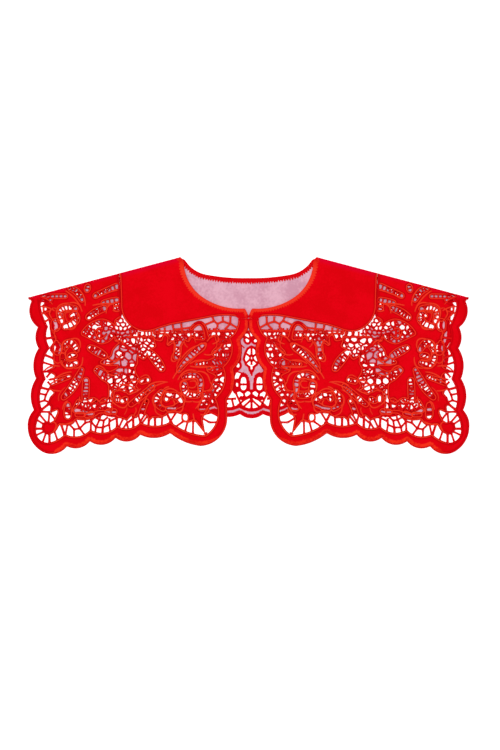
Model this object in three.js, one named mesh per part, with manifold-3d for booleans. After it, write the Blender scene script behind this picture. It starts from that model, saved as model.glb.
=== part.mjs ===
// A detachable cutwork collar, lying flat and folded along both shoulder lines.
// It is one flat cut of cloth in four parts, a neck edging and a hidden clasp. Every cloth part is drawn
// flat, pierced, scored along the folds and then folded over. Millimetres, +Z up, +Y towards the neck.
import * as THREE from "three";
import { mergeVertices } from "three/addons/utils/BufferGeometryUtils.js";
import Module from "manifold-3d";

const wasm = await Module();
wasm.setup();

// Driving dimensions
const COLLAR_WIDTH = 529.2;
const CLOTH = 1.2;
const EDGING_WIDTH = 5.4;
const PIECE_GAP = 0.3;
const FOLD_RADIUS = 2.6; // to the middle of the cloth
const FRONT_CLEARANCE = 1.6; // between the back and the front once the front has settled
const SETTLE_LENGTH = 65; // from the fold to where the front has settled
const FOLD_STEPS = 4;
const CUTTER_REACH = 1; // above and below the cloth
const SAME_PLACE = 1e-4;
const CLASP = { width: 14, depth: 6, thickness: 1, row: 137.5 }; // lies on this row of the chart

// The working chart, in squares out from the centre line and up from its foot
const CHART_WIDTH = 441;
const CHART_MIDDLE = 104.9; // the row that lies at Y = 0
const SQUARE = COLLAR_WIDTH / CHART_WIDTH;
const TIE_WIDTH = 2.0; // squares
const SHORT_SLIT = 1.2; // a slit under this many times its width is drawn straight
const CAP_LEAD = 0.4; // half widths by which a slit's sides run out into its rounded ends
const LEAST_BULGE = 0.65; // an arc that rises less is drawn straight
const ARC_FINENESS = 1.45; // straight stretches of an arc that rises one square
const BACK_LEAN = 3; // squares by which the back hangs to one side
const BACK_LEAN_START = 4; // squares below the fold
const BACK_LEAN_DEPTH = 55; // squares below the fold at which it has leaned that far
const FOLD_TIP = [220.3, 162.5];
const FOLD_NECK = [65.7, 203.5];
const YOKE_AT_FOLD = [128.9, 185.4];
const LACE_AT_FOLD = [129.2, 185.4];
const PLACKET = [[0.3, 141.8], [0.3, 145.6]]; // the yoke's edge along the front opening

// Outlines. Columns: out, up, bulge of the arc to the next row, to the right of the way
const FRONT_EDGE = [
  [0.3, 141.6, 0], [0.3, 132.4, 0], [1.3, 128.2, 0.3], [8.5, 119.3, 4.7], [14.9, 90.8, 4.1],
  [21.5, 60.7, 0.2], [21.2, 44.0, 8.4], [47.7, 14.1, 2.4], [78.2, 26.8, 4.0], [108.0, 25.3, 5.2],
  [132.7, 22.2, 5.2], [158.3, 18.8, 4.3], [181.2, 13.8, 4.9], [206.5, 8.7, 3.7], [220.5, 33.5, 1.9],
  [214.3, 50.1, 4.2], [212.2, 81.5, 3.9], [209.6, 111.7, 2.8], [210.2, 132.6, 5.0], [216.5, 158.6, 0],
];
const FRONT_INNER = [
  [10.5, 141.5, 0.6], [11.7, 133.2, 0.4], [15.1, 126.3, 0], [20.5, 122.1, 5.8], [27.0, 93.5, 6.0],
  [35.1, 62.0, 0.9], [31.1, 48.5, 3.8], [43.5, 25.0, 3.0], [77.9, 38.3, 5.7], [108.1, 37.8, 5.4],
  [131.3, 34.0, 6.0], [158.0, 30.5, 5.0], [183.2, 26.4, 1.3], [199.5, 17.6, 4.5], [211.9, 31.0, 1.7],
  [205.4, 49.0, 4.3], [202.3, 81.0, 4.6], [198.1, 112.0, 2.8], [200.0, 133.3, 3.5], [208.2, 160.0, 0],
];
const YOKE_FRONT = [
  [127.7, 156.7, -6.3], [107.3, 128.4, -1.3], [90.1, 131.1, 0], [78.5, 134.7, 0], [36.2, 142.8, 0.9],
  [14.5, 143.6, 0.6], [10.5, 141.5, 0],
];
const FRONT_GROUND_TOP = [[208.0, 161.0], [180.0, 165.0], [128.6, 175.0]];
const BACK_GROUND_TOP = [[180.0, 163.0], [129.0, 174.0]];
const YOKE_BACK = [[128.6, 160.0, -6.0], [104.0, 128.0, 0], [0, 128.0, 0]];
const NECK_FRONT = [[3.5, 151.5, 3.7], [45.5, 162.5, 4.4], [64.5, 196.0, 0]];
const NECK_BACK = [[64.0, 201.0, -2.9], [42.5, 185.3, -1.1], [0, 181.3, 0]];
const BACK_EDGE = [
  [0, 41.3, 1.1], [11.5, 45.8, 3.6], [37.0, 46.0, 3.6], [64.0, 45.0, 3.8], [92.0, 44.0, 3.8],
  [120.0, 43.5, 3.8], [148.0, 43.5, 3.6], [172.0, 44.0, 6.5], [190.5, 62.0, 3.0], [192.5, 88.0, 3.0],
  [195.5, 113.0, 2.5], [199.5, 134.0, 1.0], [202.0, 157.0, 0],
];
const BACK_INNER = [
  [0, 50.3, 1.0], [11.8, 55.3, 4.2], [37.0, 55.5, 4.2], [64.0, 54.5, 4.2], [92.0, 53.5, 4.2],
  [120.0, 53.0, 4.2], [147.0, 53.0, 3.6], [168.0, 54.5, 4.6], [180.5, 66.0, 3.2], [182.5, 89.0, 3.0],
  [185.5, 113.0, 2.5], [188.5, 134.0, 1.0], [191.5, 159.0, 0],
];
// The two leaf sprays of a front. The outer one runs out into the shoulder fold.
const OUTER_SPRAY = [
  [128.7, 188.0, 0], [127.7, 157.0, 0], [126.2, 145.5, 0], [127.0, 142.7, 0], [132.7, 138.7, 0],
  [131.0, 135.7, 0],
  [134.0, 133.0, -1.3], [146.2, 139.7, -3.0], [166.1, 126.2, 0], [148.5, 117.4, -1.9], [135.5, 123.7, 0],
  [131.0, 125.7, 0], [132.5, 119.7, 0.4], [128.7, 118.8, 0.8], [128.2, 116.0, -0.5], [135.0, 109.2, 0.4],
  [137.0, 103.0, 0.3], [141.0, 101.4, 0], [147.7, 97.4, 0], [140.5, 95.7, 0], [129.5, 96.0, 1.0],
  [130.5, 91.0, 0.3], [138.5, 87.2, 0], [145.0, 88.7, 0], [151.2, 91.8, -2.0], [151.7, 87.5, 0],
  [146.0, 81.3, 0], [141.2, 78.7, 0.8], [138.3, 73.5, 0], [138.5, 63.0, 0], [139.7, 60.2, 0.3],
  [145.0, 61.2, 0.8], [150.5, 57.5, -0.5], [154.7, 61.5, 0], [165.5, 58.0, 0], [167.5, 56.0, 0],
  [169.1, 60.5, 0], [174.7, 50.7, 0], [172.5, 47.0, 1.0], [172.5, 41.0, 1.6], [178.5, 34.8, 0.4],
  [188.5, 35.5, 0], [191.0, 30.5, 1.0], [199.5, 25.4, 3.0], [206.2, 35.0, 1.0], [203.0, 38.2, 0.8],
  [197.7, 37.7, 0], [194.7, 39.5, 0], [190.7, 50.0, 0], [197.0, 47.2, 0], [198.3, 48.5, 0],
  [197.8, 53.7, 0], [201.2, 55.7, 0], [198.5, 63.0, 0], [194.5, 67.2, 0], [200.0, 71.2, 0],
  [198.0, 75.0, 0], [194.5, 77.0, 0], [201.2, 80.8, 0], [194.0, 82.0, 0], [193.7, 84.5, 0],
  [196.5, 86.4, 0], [204.8, 88.1, 0], [198.0, 91.5, 0], [194.3, 93.5, 0], [195.5, 106.0, 0],
  [198.2, 109.3, 0], [198.2, 113.2, 0], [194.0, 119.0, 0], [193.2, 122.7, 0], [198.5, 129.8, 0],
  [198.7, 134.5, 0], [197.2, 145.0, 0], [198.0, 149.0, 0], [207.0, 153.5, 0], [216.0, 155.0, 0],
];
const INNER_SPRAY = [
  [95.2, 126.0, -0.5], [92.0, 121.2, 0], [87.2, 120.2, 0.3], [86.2, 124.5, 0.8], [82.5, 126.0, 0.8],
  [79.0, 122.0, 0], [80.2, 115.5, 0], [76.5, 118.0, 0.5], [74.0, 118.5, 0], [72.5, 115.0, 0],
  [68.0, 114.5, 0], [65.5, 119.0, 0], [64.0, 123.0, 0], [60.5, 119.0, 0], [59.0, 122.0, 0.3],
  [56.0, 124.0, 0.6], [53.0, 121.5, 0], [47.0, 121.5, 0], [41.0, 119.5, 0], [38.5, 123.0, 0.4],
  [33.5, 125.5, 0.6], [31.8, 121.0, 0.3], [30.2, 116.0, 0.6], [32.2, 111.0, -0.3], [36.0, 106.7, 0],
  [31.5, 102.5, 0], [40.0, 98.5, 0], [40.5, 89.7, 0], [34.5, 87.0, 0.6], [31.0, 83.0, 0.3],
  [34.5, 79.5, 0], [36.0, 73.0, 1.0], [40.5, 68.5, 0.8], [44.5, 68.5, 0], [45.5, 62.0, 0],
  [47.0, 56.0, 0], [49.0, 53.0, 0], [48.0, 50.5, 0], [43.5, 50.5, 0.5], [40.0, 55.0, 0.5],
  [37.0, 57.0, 0], [40.5, 49.0, 0], [45.7, 41.5, 0], [42.7, 28.0, 0], [54.0, 39.5, 0],
  [58.5, 38.0, 0.5], [61.0, 37.5, 0.4], [66.0, 39.0, 1.0], [66.5, 45.5, 0.4], [72.0, 47.5, 0.4],
  [81.0, 46.5, 0.8], [84.7, 43.3, 0.8], [90.0, 42.0, 0.6], [95.0, 42.7, 0], [99.5, 38.5, 0],
  [102.2, 44.8, 0], [109.3, 45.0, 0], [112.0, 41.5, 0], [116.5, 44.4, 0], [121.5, 39.0, 0],
  [126.0, 41.3, 0], [130.5, 42.0, 0], [135.0, 46.0, 0], [138.0, 55.0, 0], [136.5, 60.0, 0],
  [135.5, 67.0, 1.5], [130.5, 70.5, 1.0], [124.0, 69.0, 1.0], [119.5, 66.5, 0], [110.7, 70.0, 0],
  [114.0, 74.3, 0], [110.0, 80.5, 0], [113.5, 86.0, 0], [115.0, 92.0, 0], [111.8, 97.0, 0.5],
  [111.5, 107.0, 0], [109.0, 104.5, 0], [104.5, 101.5, 0], [101.5, 107.0, 0], [99.0, 111.5, 0],
  [93.5, 114.0, 0], [95.5, 119.0, 0],
];
// Slits and crescents cut in the sprays. Columns: start, middle and end, each out and up, the width at
// each, and 1 where the back has it too
const OUTER_SLITS = [
  [178.0, 171.2, 171.0, 167.8, 166.1, 160.0, 2.0, 4.0, 2.2, 0], // leaf by the fold
  [152.7, 164.0, 143.0, 168.7, 131.2, 173.2, 3.0, 2.8, 4.2, 0], // upper slit
  [145.0, 157.0, 138.5, 158.4, 131.2, 160.0, 2.0, 3.4, 2.5, 0], // second slit
  [159.5, 142.7, 152.0, 148.0, 144.0, 151.4, 3.6, 4.4, 3.6, 0], // third slit
  [158.0, 112.0, 150.5, 108.2, 143.7, 104.2, 4.5, 6.4, 4.5, 1], // fifth slit
  [162.2, 79.5, 162.6, 69.0, 162.9, 61.5, 4.6, 4.4, 3.6, 0], // long slit
  [166.5, 90.5, 174.0, 75.5, 184.7, 62.5, 1.8, 6.2, 2.6, 0], // ladder
  [193.0, 78.9, 188.0, 80.4, 179.0, 83.4, 3.6, 2.8, 1.6, 0], // leaf bay
  [180.2, 55.5, 180.5, 48.5, 180.3, 44.0, 2.0, 5.6, 5.0, 0], // teardrop
  [186.7, 138.5, 186.0, 150.0, 172.5, 151.2, 3.0, 5.0, 2.8, 1], // round the first scroll
  [172.8, 145.5, 173.0, 138.5, 183.0, 133.2, 3.6, 5.2, 3.6, 0], // inside the first scroll
  [192.8, 136.6, 192.9, 134.5, 193.0, 133.0, 5.6, 6.0, 5.0, 0], // side pane
  [190.4, 112.6, 190.2, 111.0, 190.3, 109.6, 5.2, 5.6, 5.2, 0], // lower side pane
  [184.6, 109.4, 178.5, 117.2, 171.2, 110.0, 2.4, 5.6, 2.8, 0], // over the second scroll
  [185.5, 104.5, 182.5, 96.0, 172.3, 97.0, 2.4, 4.6, 3.0, 0], // under the second scroll
];
const INNER_SLITS = [
  [96.5, 104.0, 92.0, 99.5, 86.7, 91.7, 5.0, 7.0, 5.0, 0], // net slit
  [95.3, 74.0, 105.0, 65.5, 117.5, 55.5, 2.0, 3.6, 2.6, 0], // long ladder
  [46.2, 113.5, 58.0, 103.5, 70.0, 89.0, 4.2, 5.4, 1.6, 1], // crest slit
  [71.0, 109.5, 71.3, 106.0, 71.7, 103.0, 5.0, 5.2, 4.6, 0], // top slit
  [64.5, 83.0, 51.0, 82.8, 48.0, 72.0, 2.2, 5.6, 2.2, 1], // over the third scroll
  [64.0, 75.5, 61.5, 67.0, 51.0, 65.5, 5.2, 5.2, 5.2, 0], // round the third scroll
  [86.5, 68.5, 91.7, 59.0, 85.0, 51.2, 2.2, 4.6, 2.2, 0], // round the fourth scroll
  [77.0, 64.5, 72.0, 63.7, 67.2, 58.5, 4.0, 4.6, 2.2, 0], // over the fourth scroll
  [63.2, 44.6, 63.2, 43.0, 63.2, 41.6, 3.8, 4.0, 3.8, 0], // corner ring
  [126.2, 59.2, 124.2, 59.8, 122.5, 61.2, 3.0, 3.2, 3.0, 0], // ring
];
// A raised arch of cloth over the crest. Columns: as the slits, without the last
const CREST_ARCH = [41.5, 119.0, 47.0, 136.2, 57.3, 131.0, 6.0, 5.0, 4.6];
// Narrow ties of cloth that carry the sprays. Columns: start and end, each out and up
const FRONT_TIES = [
  [208.0, 145.5, 196.0, 149.5], [203.2, 121.4, 191.2, 122.9], [207.5, 72.6, 197.2, 69.9],
  [209.5, 44.5, 201.0, 37.0], [198.7, 16.5, 198.8, 27.5], [178.5, 37.0, 173.8, 22.0],
  [166.0, 60.0, 167.0, 24.0], [134.5, 48.0, 131.2, 32.0], [99.5, 41.0, 100.0, 31.5],
  [86.1, 44.5, 86.8, 31.0], [55.3, 41.5, 55.6, 25.5], [41.0, 49.5, 29.7, 44.4],
  [45.0, 61.5, 32.0, 62.1], [37.0, 79.2, 24.0, 71.0], [33.5, 102.6, 19.5, 99.5],
  [43.5, 133.5, 25.8, 145.5], [63.5, 120.0, 63.8, 139.5], [83.0, 123.0, 83.7, 136.0],
  [110.5, 105.0, 125.5, 141.0], [131.0, 93.0, 113.5, 91.0], [140.0, 74.0, 129.5, 69.5],
  [148.0, 141.5, 149.5, 115.5],
];
// Where the back repeats the sprays, a little smaller. Columns: out scale, out shift, up scale, up shift
const BACK_OUTER_PLACE = [0.86, 3.6, 0.79, 36.5];
const BACK_INNER_PLACE = [0.78, 1.5, 0.7, 37.5];
// The lens, the rings and the hooks in the middle of the back. Columns: as the slits, without the last
const BACK_CENTRE = [
  [0, 127.5, 0, 120.0, 0, 113.0, 5.0, 8.0, 15.0], [0, 114.0, 0, 103.0, 0, 86.0, 15.0, 17.0, 3.0],
  [0, 96.0, 0, 84.0, 0, 52.0, 8.0, 7.0, 2.4], [0, 92.0, 8.0, 88.0, 18.0, 91.0, 6.0, 6.0, 5.0],
  [4.0, 76.0, 13.5, 70.0, 8.0, 64.5, 2.6, 2.8, 2.6], [8.0, 64.5, 4.2, 65.8, 0.0, 66.5, 2.6, 3.0, 3.4],
  [0.5, 62.5, 5.2, 61.5, 10.0, 61.0, 3.4, 3.6, 4.4], [5.5, 87.0, 14.0, 86.0, 15.5, 76.0, 3.0, 2.8, 2.6],
  [15.5, 76.0, 14.0, 66.5, 4.5, 67.0, 2.6, 2.8, 3.0],
];
const BACK_LENS_WINDOW = [0, 111.0, 0, 103.0, 0, 92.0, 7.0, 12.0, 2.2];
const BACK_TIES = [
  [8.0, 62.0, 12.0, 52.0], [18.0, 91.0, 29.0, 90.0], [30.0, 104.5, 2.0, 125.0],
  [6.0, 104.0, 30.0, 99.0], [38.0, 64.0, 37.0, 52.0], [50.0, 68.0, 58.0, 50.0],
  [104.0, 68.0, 106.0, 49.0], [30.0, 121.0, 30.0, 130.0], [74.0, 116.0, 74.0, 130.0],
  [88.0, 108.0, 96.0, 130.0], [88.0, 95.0, 122.0, 111.0], [100.0, 82.0, 122.0, 86.0],
  [124.0, 86.0, 123.0, 49.0], [157.0, 72.0, 154.0, 49.0], [166.0, 66.0, 172.0, 52.0],
  [170.0, 88.0, 184.0, 88.0], [170.0, 107.0, 187.0, 107.0], [172.0, 132.0, 190.0, 128.0],
];

// Mathematics of the chart and of the folds
const fromChart = (side) => ([out, up]) =>
  new THREE.Vector2(side * out * SQUARE, (up - CHART_MIDDLE) * SQUARE);

// The line of a shoulder fold: its outermost point, the way along it to the neck and the way off the cloth.
function foldOf(side) {
  const tip = fromChart(side)(FOLD_TIP);
  const along = fromChart(side)(FOLD_NECK).sub(tip).normalize();
  const off = new THREE.Vector2(-along.y, along.x);
  if (off.y < 0) off.negate();
  const axis = tip.clone().addScaledVector(off, -(FOLD_RADIUS + CLOTH / 2));
  const height = (point) => point.clone().sub(axis).dot(off);
  return { axis, along, off, height };
}
const FOLDS = new Map([[-1, foldOf(-1)], [1, foldOf(1)]]);
const ARC = Math.PI * FOLD_RADIUS;

// A point of the front as it lies, taken to its place in the flat cut beyond the fold.
function unfold(side, point) {
  const { height, off } = FOLDS.get(side);
  const h = height(point);
  const flat = h <= 0 ? ARC - h : ARC * (1 - h / (2 * (FOLD_RADIUS + CLOTH / 2)));
  return point.clone().addScaledVector(off, flat - h);
}

// The place of a flat point that lies on the fold itself, at a height measured along the cloth.
function onFold(side, chartPoint, height) {
  const { axis, along, off } = FOLDS.get(side);
  const run = fromChart(side)(chartPoint).sub(axis).dot(along);
  return axis.clone().addScaledVector(along, run).addScaledVector(off, height);
}

// A vertex of the flat cut, thickness z, folded over: flat, then round the arc, then back over the cloth.
function folded(x, y, z) {
  const { height, off } = FOLDS.get(x < 0 ? -1 : 1);
  const point = new THREE.Vector2(x, y);
  const h = height(point);
  if (h <= 0) return [x, y, z];
  const radius = FOLD_RADIUS + CLOTH / 2 - z;
  const centre = FOLD_RADIUS + CLOTH / 2;
  const angle = Math.min(h / FOLD_RADIUS, Math.PI);
  const beyond = Math.max(h - ARC, 0);
  const drop = (2 * FOLD_RADIUS - CLOTH - FRONT_CLEARANCE) * Math.min(beyond / SETTLE_LENGTH, 1);
  const reach = h < ARC ? radius * Math.sin(angle) : -beyond;
  point.addScaledVector(off, reach - h);
  return [point.x, point.y, centre - radius * Math.cos(angle) - drop];
}

// The back hangs a little to one side, more towards its hem.
function leaned(point) {
  const depth = Math.min(...[-1, 1].map((side) => -FOLDS.get(side).height(point))) / SQUARE;
  const share = THREE.MathUtils.smoothstep(depth, BACK_LEAN_START, BACK_LEAN_DEPTH);
  return new THREE.Vector2(point.x + BACK_LEAN * SQUARE * share, point.y);
}

// Outlines
// A chain of rows as points: each row's bulge is the rise of a round arc to the next row.
function arcChain(rows, closed = false) {
  const points = [];
  rows.forEach(([out, up, bulge], i) => {
    points.push([out, up]);
    const next = rows[i + 1] ?? (closed ? rows[0] : null);
    if (!next || Math.abs(bulge) < LEAST_BULGE) return;
    const dx = next[0] - out;
    const dy = next[1] - up;
    const length = Math.hypot(dx, dy);
    const rise = Math.abs(bulge);
    const radius = (length * length) / 8 / rise + rise / 2;
    const steps = Math.ceil(ARC_FINENESS * Math.sqrt(rise));
    for (let k = 1; k < steps; k++) {
      const t = k / steps;
      const s = (t - 0.5) * length;
      const h = Math.sign(bulge) * (Math.sqrt(radius * radius - s * s) - (radius - rise));
      points.push([out + dx * t + (dy / length) * h, up + dy * t - (dx / length) * h]);
    }
  });
  return points;
}

// A tapered, bent slit with rounded ends: half its width is set off on both sides of a parabola.
function slit([x0, y0, xm, ym, x1, y1, w0, wm, w1]) {
  const short = Math.hypot(x1 - x0, y1 - y0) < SHORT_SLIT * wm;
  const steps = short ? 2 : 3;
  const bend = short ? 0 : 1;
  const curve = new THREE.QuadraticBezierCurve(
    new THREE.Vector2(x0, y0),
    new THREE.Vector2((x0 + x1) / 2 + bend * (2 * xm - x0 - x1), (y0 + y1) / 2 + bend * (2 * ym - y0 - y1)),
    new THREE.Vector2(x1, y1),
  );
  const sides = [[], []];
  for (let k = 0; k <= steps; k++) {
    const t = k / steps;
    const half = (w0 * (1 - t) * (1 - 2 * t) + 4 * wm * t * (1 - t) + w1 * t * (2 * t - 1)) / 2;
    const { x, y } = curve.getPoint(t);
    const way = curve.getTangent(t);
    const lead = CAP_LEAD * half * (1 - 2 * t);
    const px = x + way.x * lead;
    const py = y + way.y * lead;
    sides[0].push([px + way.y * half, py - way.x * half]);
    sides[1].push([px - way.y * half, py + way.x * half]);
  }
  const endCap = [x1 + curve.getTangent(1).x * (w1 / 2), y1 + curve.getTangent(1).y * (w1 / 2)];
  const startCap = [x0 - curve.getTangent(0).x * (w0 / 2), y0 - curve.getTangent(0).y * (w0 / 2)];
  return [...sides[0], endCap, ...sides[1].reverse(), startCap];
}

// A straight tie as a narrow rectangle.
function tie([x0, y0, x1, y1], width = TIE_WIDTH) {
  const length = Math.hypot(x1 - x0, y1 - y0);
  const nx = ((y1 - y0) / length) * (width / 2);
  const ny = (-(x1 - x0) / length) * (width / 2);
  return [[x0 + nx, y0 + ny], [x1 + nx, y1 + ny], [x1 - nx, y1 - ny], [x0 - nx, y0 - ny]];
}

// Moves an open line of points sideways, to the right of its way for a positive distance.
function offset(points, distance) {
  return points.map((point, i) => {
    const before = points[Math.max(i - 1, 0)];
    const after = points[Math.min(i + 1, points.length - 1)];
    const way = after.clone().sub(before).normalize();
    return new THREE.Vector2(point.x + way.y * distance, point.y - way.x * distance);
  });
}

// Solids
function solidOf(geometry) {
  geometry.deleteAttribute("normal");
  geometry.deleteAttribute("uv");
  const merged = mergeVertices(geometry, SAME_PLACE);
  return new wasm.Manifold(
    new wasm.Mesh({
      numProp: 3,
      vertProperties: merged.attributes.position.array,
      triVerts: new Uint32Array(merged.index.array),
    }),
  );
}

function prism(points, low = 0, high = CLOTH) {
  const shape = new THREE.Shape(points);
  const geometry = new THREE.ExtrudeGeometry(shape, { depth: high - low, bevelEnabled: false });
  return solidOf(geometry.translate(0, 0, low));
}

const cutter = (points) => prism(points, -CUTTER_REACH, CLOTH + CUTTER_REACH);
const joined = (solids) => wasm.Manifold.union(solids);

// Splits every triangle that crosses the line at a height over a fold, on that fold's side of the collar.
function score(mesh, side, height) {
  const { axis, off } = FOLDS.get(side);
  const { vertices, faces } = mesh;
  const over = (v) => (vertices[v][0] - axis.x) * off.x + (vertices[v][1] - axis.y) * off.y - height;
  const cuts = new Map();
  const cutOf = (a, b) => {
    const key = Math.min(a, b) + "_" + Math.max(a, b);
    if (!cuts.has(key)) {
      const [low, high] = [Math.min(a, b), Math.max(a, b)];
      const t = over(low) / (over(low) - over(high));
      cuts.set(key, vertices.push(vertices[low].map((c, i) => c + (vertices[high][i] - c) * t)) - 1);
    }
    return cuts.get(key);
  };
  const split = (face) => {
    const middle = (vertices[face[0]][0] + vertices[face[1]][0] + vertices[face[2]][0]) / 3;
    const signs = face.map((v) => (Math.abs(over(v)) < SAME_PLACE ? 0 : Math.sign(over(v))));
    if (Math.sign(middle) !== side || !signs.includes(1) || !signs.includes(-1)) return [face];
    const zero = signs.indexOf(0);
    if (zero >= 0) {
      const [a, b, c] = [0, 1, 2].map((k) => face[(zero + k) % 3]);
      const cut = cutOf(b, c);
      return [[a, b, cut], [a, cut, c]];
    }
    const lone = signs.findIndex((s, k) => s !== signs[(k + 1) % 3] && s !== signs[(k + 2) % 3]);
    const [a, b, c] = [0, 1, 2].map((k) => face[(lone + k) % 3]);
    const [ab, ac] = [cutOf(a, b), cutOf(a, c)];
    return [[a, ab, ac], [ab, b, c], [ab, c, ac]];
  };
  return { vertices, faces: faces.flatMap(split) };
}

// The flat solid scored along the folds of the given sides, folded over, as a geometry.
function foldedGeometry(solid, sides) {
  const flat = solid.getMesh();
  const at = (v) => Array.from(flat.vertProperties.slice(v * flat.numProp, v * flat.numProp + 3));
  let mesh = {
    vertices: Array.from({ length: flat.numVert }, (_, v) => at(v)),
    faces: Array.from({ length: flat.numTri }, (_, f) => Array.from(flat.triVerts.slice(3 * f, 3 * f + 3))),
  };
  for (const side of sides) {
    for (let k = 0; k <= FOLD_STEPS; k++) mesh = score(mesh, side, (ARC * k) / FOLD_STEPS);
    mesh = score(mesh, side, ARC + SETTLE_LENGTH);
  }
  const places = mesh.vertices.flatMap(([x, y, z]) => folded(x, y, z));
  const geometry = new THREE.BufferGeometry();
  geometry.setAttribute("position", new THREE.BufferAttribute(new Float32Array(places), 3));
  geometry.setIndex(mesh.faces.flat());
  return geometry;
}

// Parts
// The neck line of the whole flat cut, from one front opening round the back to the other.
function neckLine() {
  const half = (side) => [
    ...arcChain(NECK_FRONT).map((row) => unfold(side, fromChart(side)(row))),
    ...[ARC, 0].map((height) => onFold(side, FOLD_NECK, height)),
    ...arcChain(NECK_BACK).map(fromChart(side)),
  ];
  return [...half(-1), ...half(1).reverse().slice(1)];
}

function neckEdging() {
  const line = neckLine();
  return prism([...line, ...offset(line, EDGING_WIDTH).reverse()]);
}

function yoke() {
  const neck = offset(neckLine(), EDGING_WIDTH + PIECE_GAP);
  const placket = (side) => PLACKET.map((row) => unfold(side, fromChart(side)(row)));
  const lower = (side) => [
    ...arcChain(YOKE_BACK).map(fromChart(side)).reverse(),
    ...[0, ARC].map((height) => onFold(side, YOKE_AT_FOLD, height)),
    ...arcChain(YOKE_FRONT).map((row) => unfold(side, fromChart(side)(row))),
  ];
  return prism([
    ...lower(-1),
    ...placket(-1),
    ...neck,
    ...placket(1).reverse(),
    ...lower(1).reverse().slice(0, -1),
  ]);
}

function frontLace(side) {
  const place = (row) => unfold(side, fromChart(side)(row));
  const outline = (points) => points.map(place);
  const inward = offset(arcChain(YOKE_FRONT).map(fromChart(side)), -side * PIECE_GAP);
  const edge = [
    ...outline(arcChain(FRONT_EDGE)),
    ...[ARC / 2, PIECE_GAP / 2].map((height) => onFold(side, FOLD_TIP, height)),
    ...[PIECE_GAP / 2, ARC].map((height) => onFold(side, LACE_AT_FOLD, height)),
    ...inward.map((point) => unfold(side, point)),
  ];
  const ground = cutter(
    outline([...arcChain(FRONT_INNER), ...FRONT_GROUND_TOP, ...arcChain(YOKE_FRONT)]),
  );
  const slits = (rows) => joined(rows.map((row) => cutter(outline(slit(row)))));
  const outer = cutter(outline(arcChain(OUTER_SPRAY, true)));
  const inner = cutter(outline(arcChain(INNER_SPRAY, true)));
  const kept = joined([
    inner,
    slits([CREST_ARCH]),
    outer,
    ...FRONT_TIES.map((row) => cutter(outline(tie(row)))),
  ]);
  const lace = prism(edge).subtract(ground.subtract(kept));
  return lace.subtract(slits([...OUTER_SLITS, ...INNER_SLITS]));
}

function backLace() {
  const placed = ([sx, dx, sy, dy]) => (rows) => rows.map(([x, y]) => [x * sx + dx, y * sy + dy]);
  const placedSlit = ([sx, dx, sy, dy]) => (row) => [
    ...row.slice(0, 6).map((v, i) => (i % 2 ? v * sy + dy : v * sx + dx)),
    ...row.slice(6, 9).map((w) => w * Math.sqrt(sx * sy)),
  ];
  const both = (make) => joined([make(-1), make(1)]);
  const lay = (side) => (points) => points.map((row) => leaned(fromChart(side)(row)));
  const rim = (rows) => (side) => [
    ...lay(side)(arcChain(rows)),
    onFold(side, FOLD_TIP, -PIECE_GAP / 2),
  ];
  const top = (side) => [
    ...[-PIECE_GAP / 2, -PIECE_GAP].map((h) => onFold(side, LACE_AT_FOLD, h)),
    ...offset(arcChain(YOKE_BACK).map(fromChart(side)), -side * PIECE_GAP),
  ];
  const edge = both((side) => prism([...rim(BACK_EDGE)(side), ...top(side)]));
  const ground = both((side) =>
    cutter(lay(side)([...arcChain(BACK_INNER), ...BACK_GROUND_TOP, ...arcChain(YOKE_BACK)])),
  );
  const slits = (rows) => (side) => joined(rows.map((row) => cutter(lay(side)(slit(row)))));
  const kept = both((side) => {
    const outer = cutter(lay(side)(placed(BACK_OUTER_PLACE)(OUTER_SPRAY)));
    const inner = cutter(lay(side)(placed(BACK_INNER_PLACE)(INNER_SPRAY)));
    const outerSlits = OUTER_SLITS.filter((row) => row[9]).map(placedSlit(BACK_OUTER_PLACE));
    const innerSlits = INNER_SLITS.filter((row) => row[9]).map(placedSlit(BACK_INNER_PLACE));
    return joined([
      outer.add(inner).subtract(slits([...outerSlits, ...innerSlits])(side)),
      slits(BACK_CENTRE)(side),
      ...BACK_TIES.map((row) => cutter(lay(side)(tie(row)))),
    ]);
  });
  return edge.subtract(ground.subtract(kept)).subtract(both(slits([BACK_LENS_WINDOW])));
}

function clasp() {
  const { width, depth, thickness, row } = CLASP;
  const height = CLOTH + FRONT_CLEARANCE / 2;
  return new THREE.BoxGeometry(width, depth, thickness).translate(0, (row - CHART_MIDDLE) * SQUARE, height);
}

const red = (roughness) => new THREE.MeshStandardMaterial({ color: 0xe6000f, roughness, metalness: 0 });
const steel = new THREE.MeshStandardMaterial({ color: 0xb9b9bd, roughness: 0.35, metalness: 1 });

function named(name, geometry, material) {
  const mesh = new THREE.Mesh(geometry, material);
  mesh.name = name;
  return mesh;
}

const collar = new THREE.Group();
collar.add(
  named("yoke", foldedGeometry(yoke(), [-1, 1]), red(0.85)),
  named("neck_edging", foldedGeometry(neckEdging(), [-1, 1]), red(0.5)),
  named("lace_front_left", foldedGeometry(frontLace(-1), [-1]), red(0.8)),
  named("lace_front_right", foldedGeometry(frontLace(1), [1]), red(0.8)),
  named("lace_back", foldedGeometry(backLace(), []), red(0.8)),
  named("neck_clasp", clasp(), steel),
);

export default collar;
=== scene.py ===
"""A detachable cutwork collar that lies flat, folded along both shoulders.

Every cloth part is drawn on one chart, in squares out from the centre line and up from the foot of the
collar. A field gives the distance to the nearest edge of the cloth, the cloth is the region where it is
positive, and the flat cut is then folded over at the shoulders.
"""

import logging
from dataclasses import dataclass, field
from enum import Enum
from typing import Callable, Sequence

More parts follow.
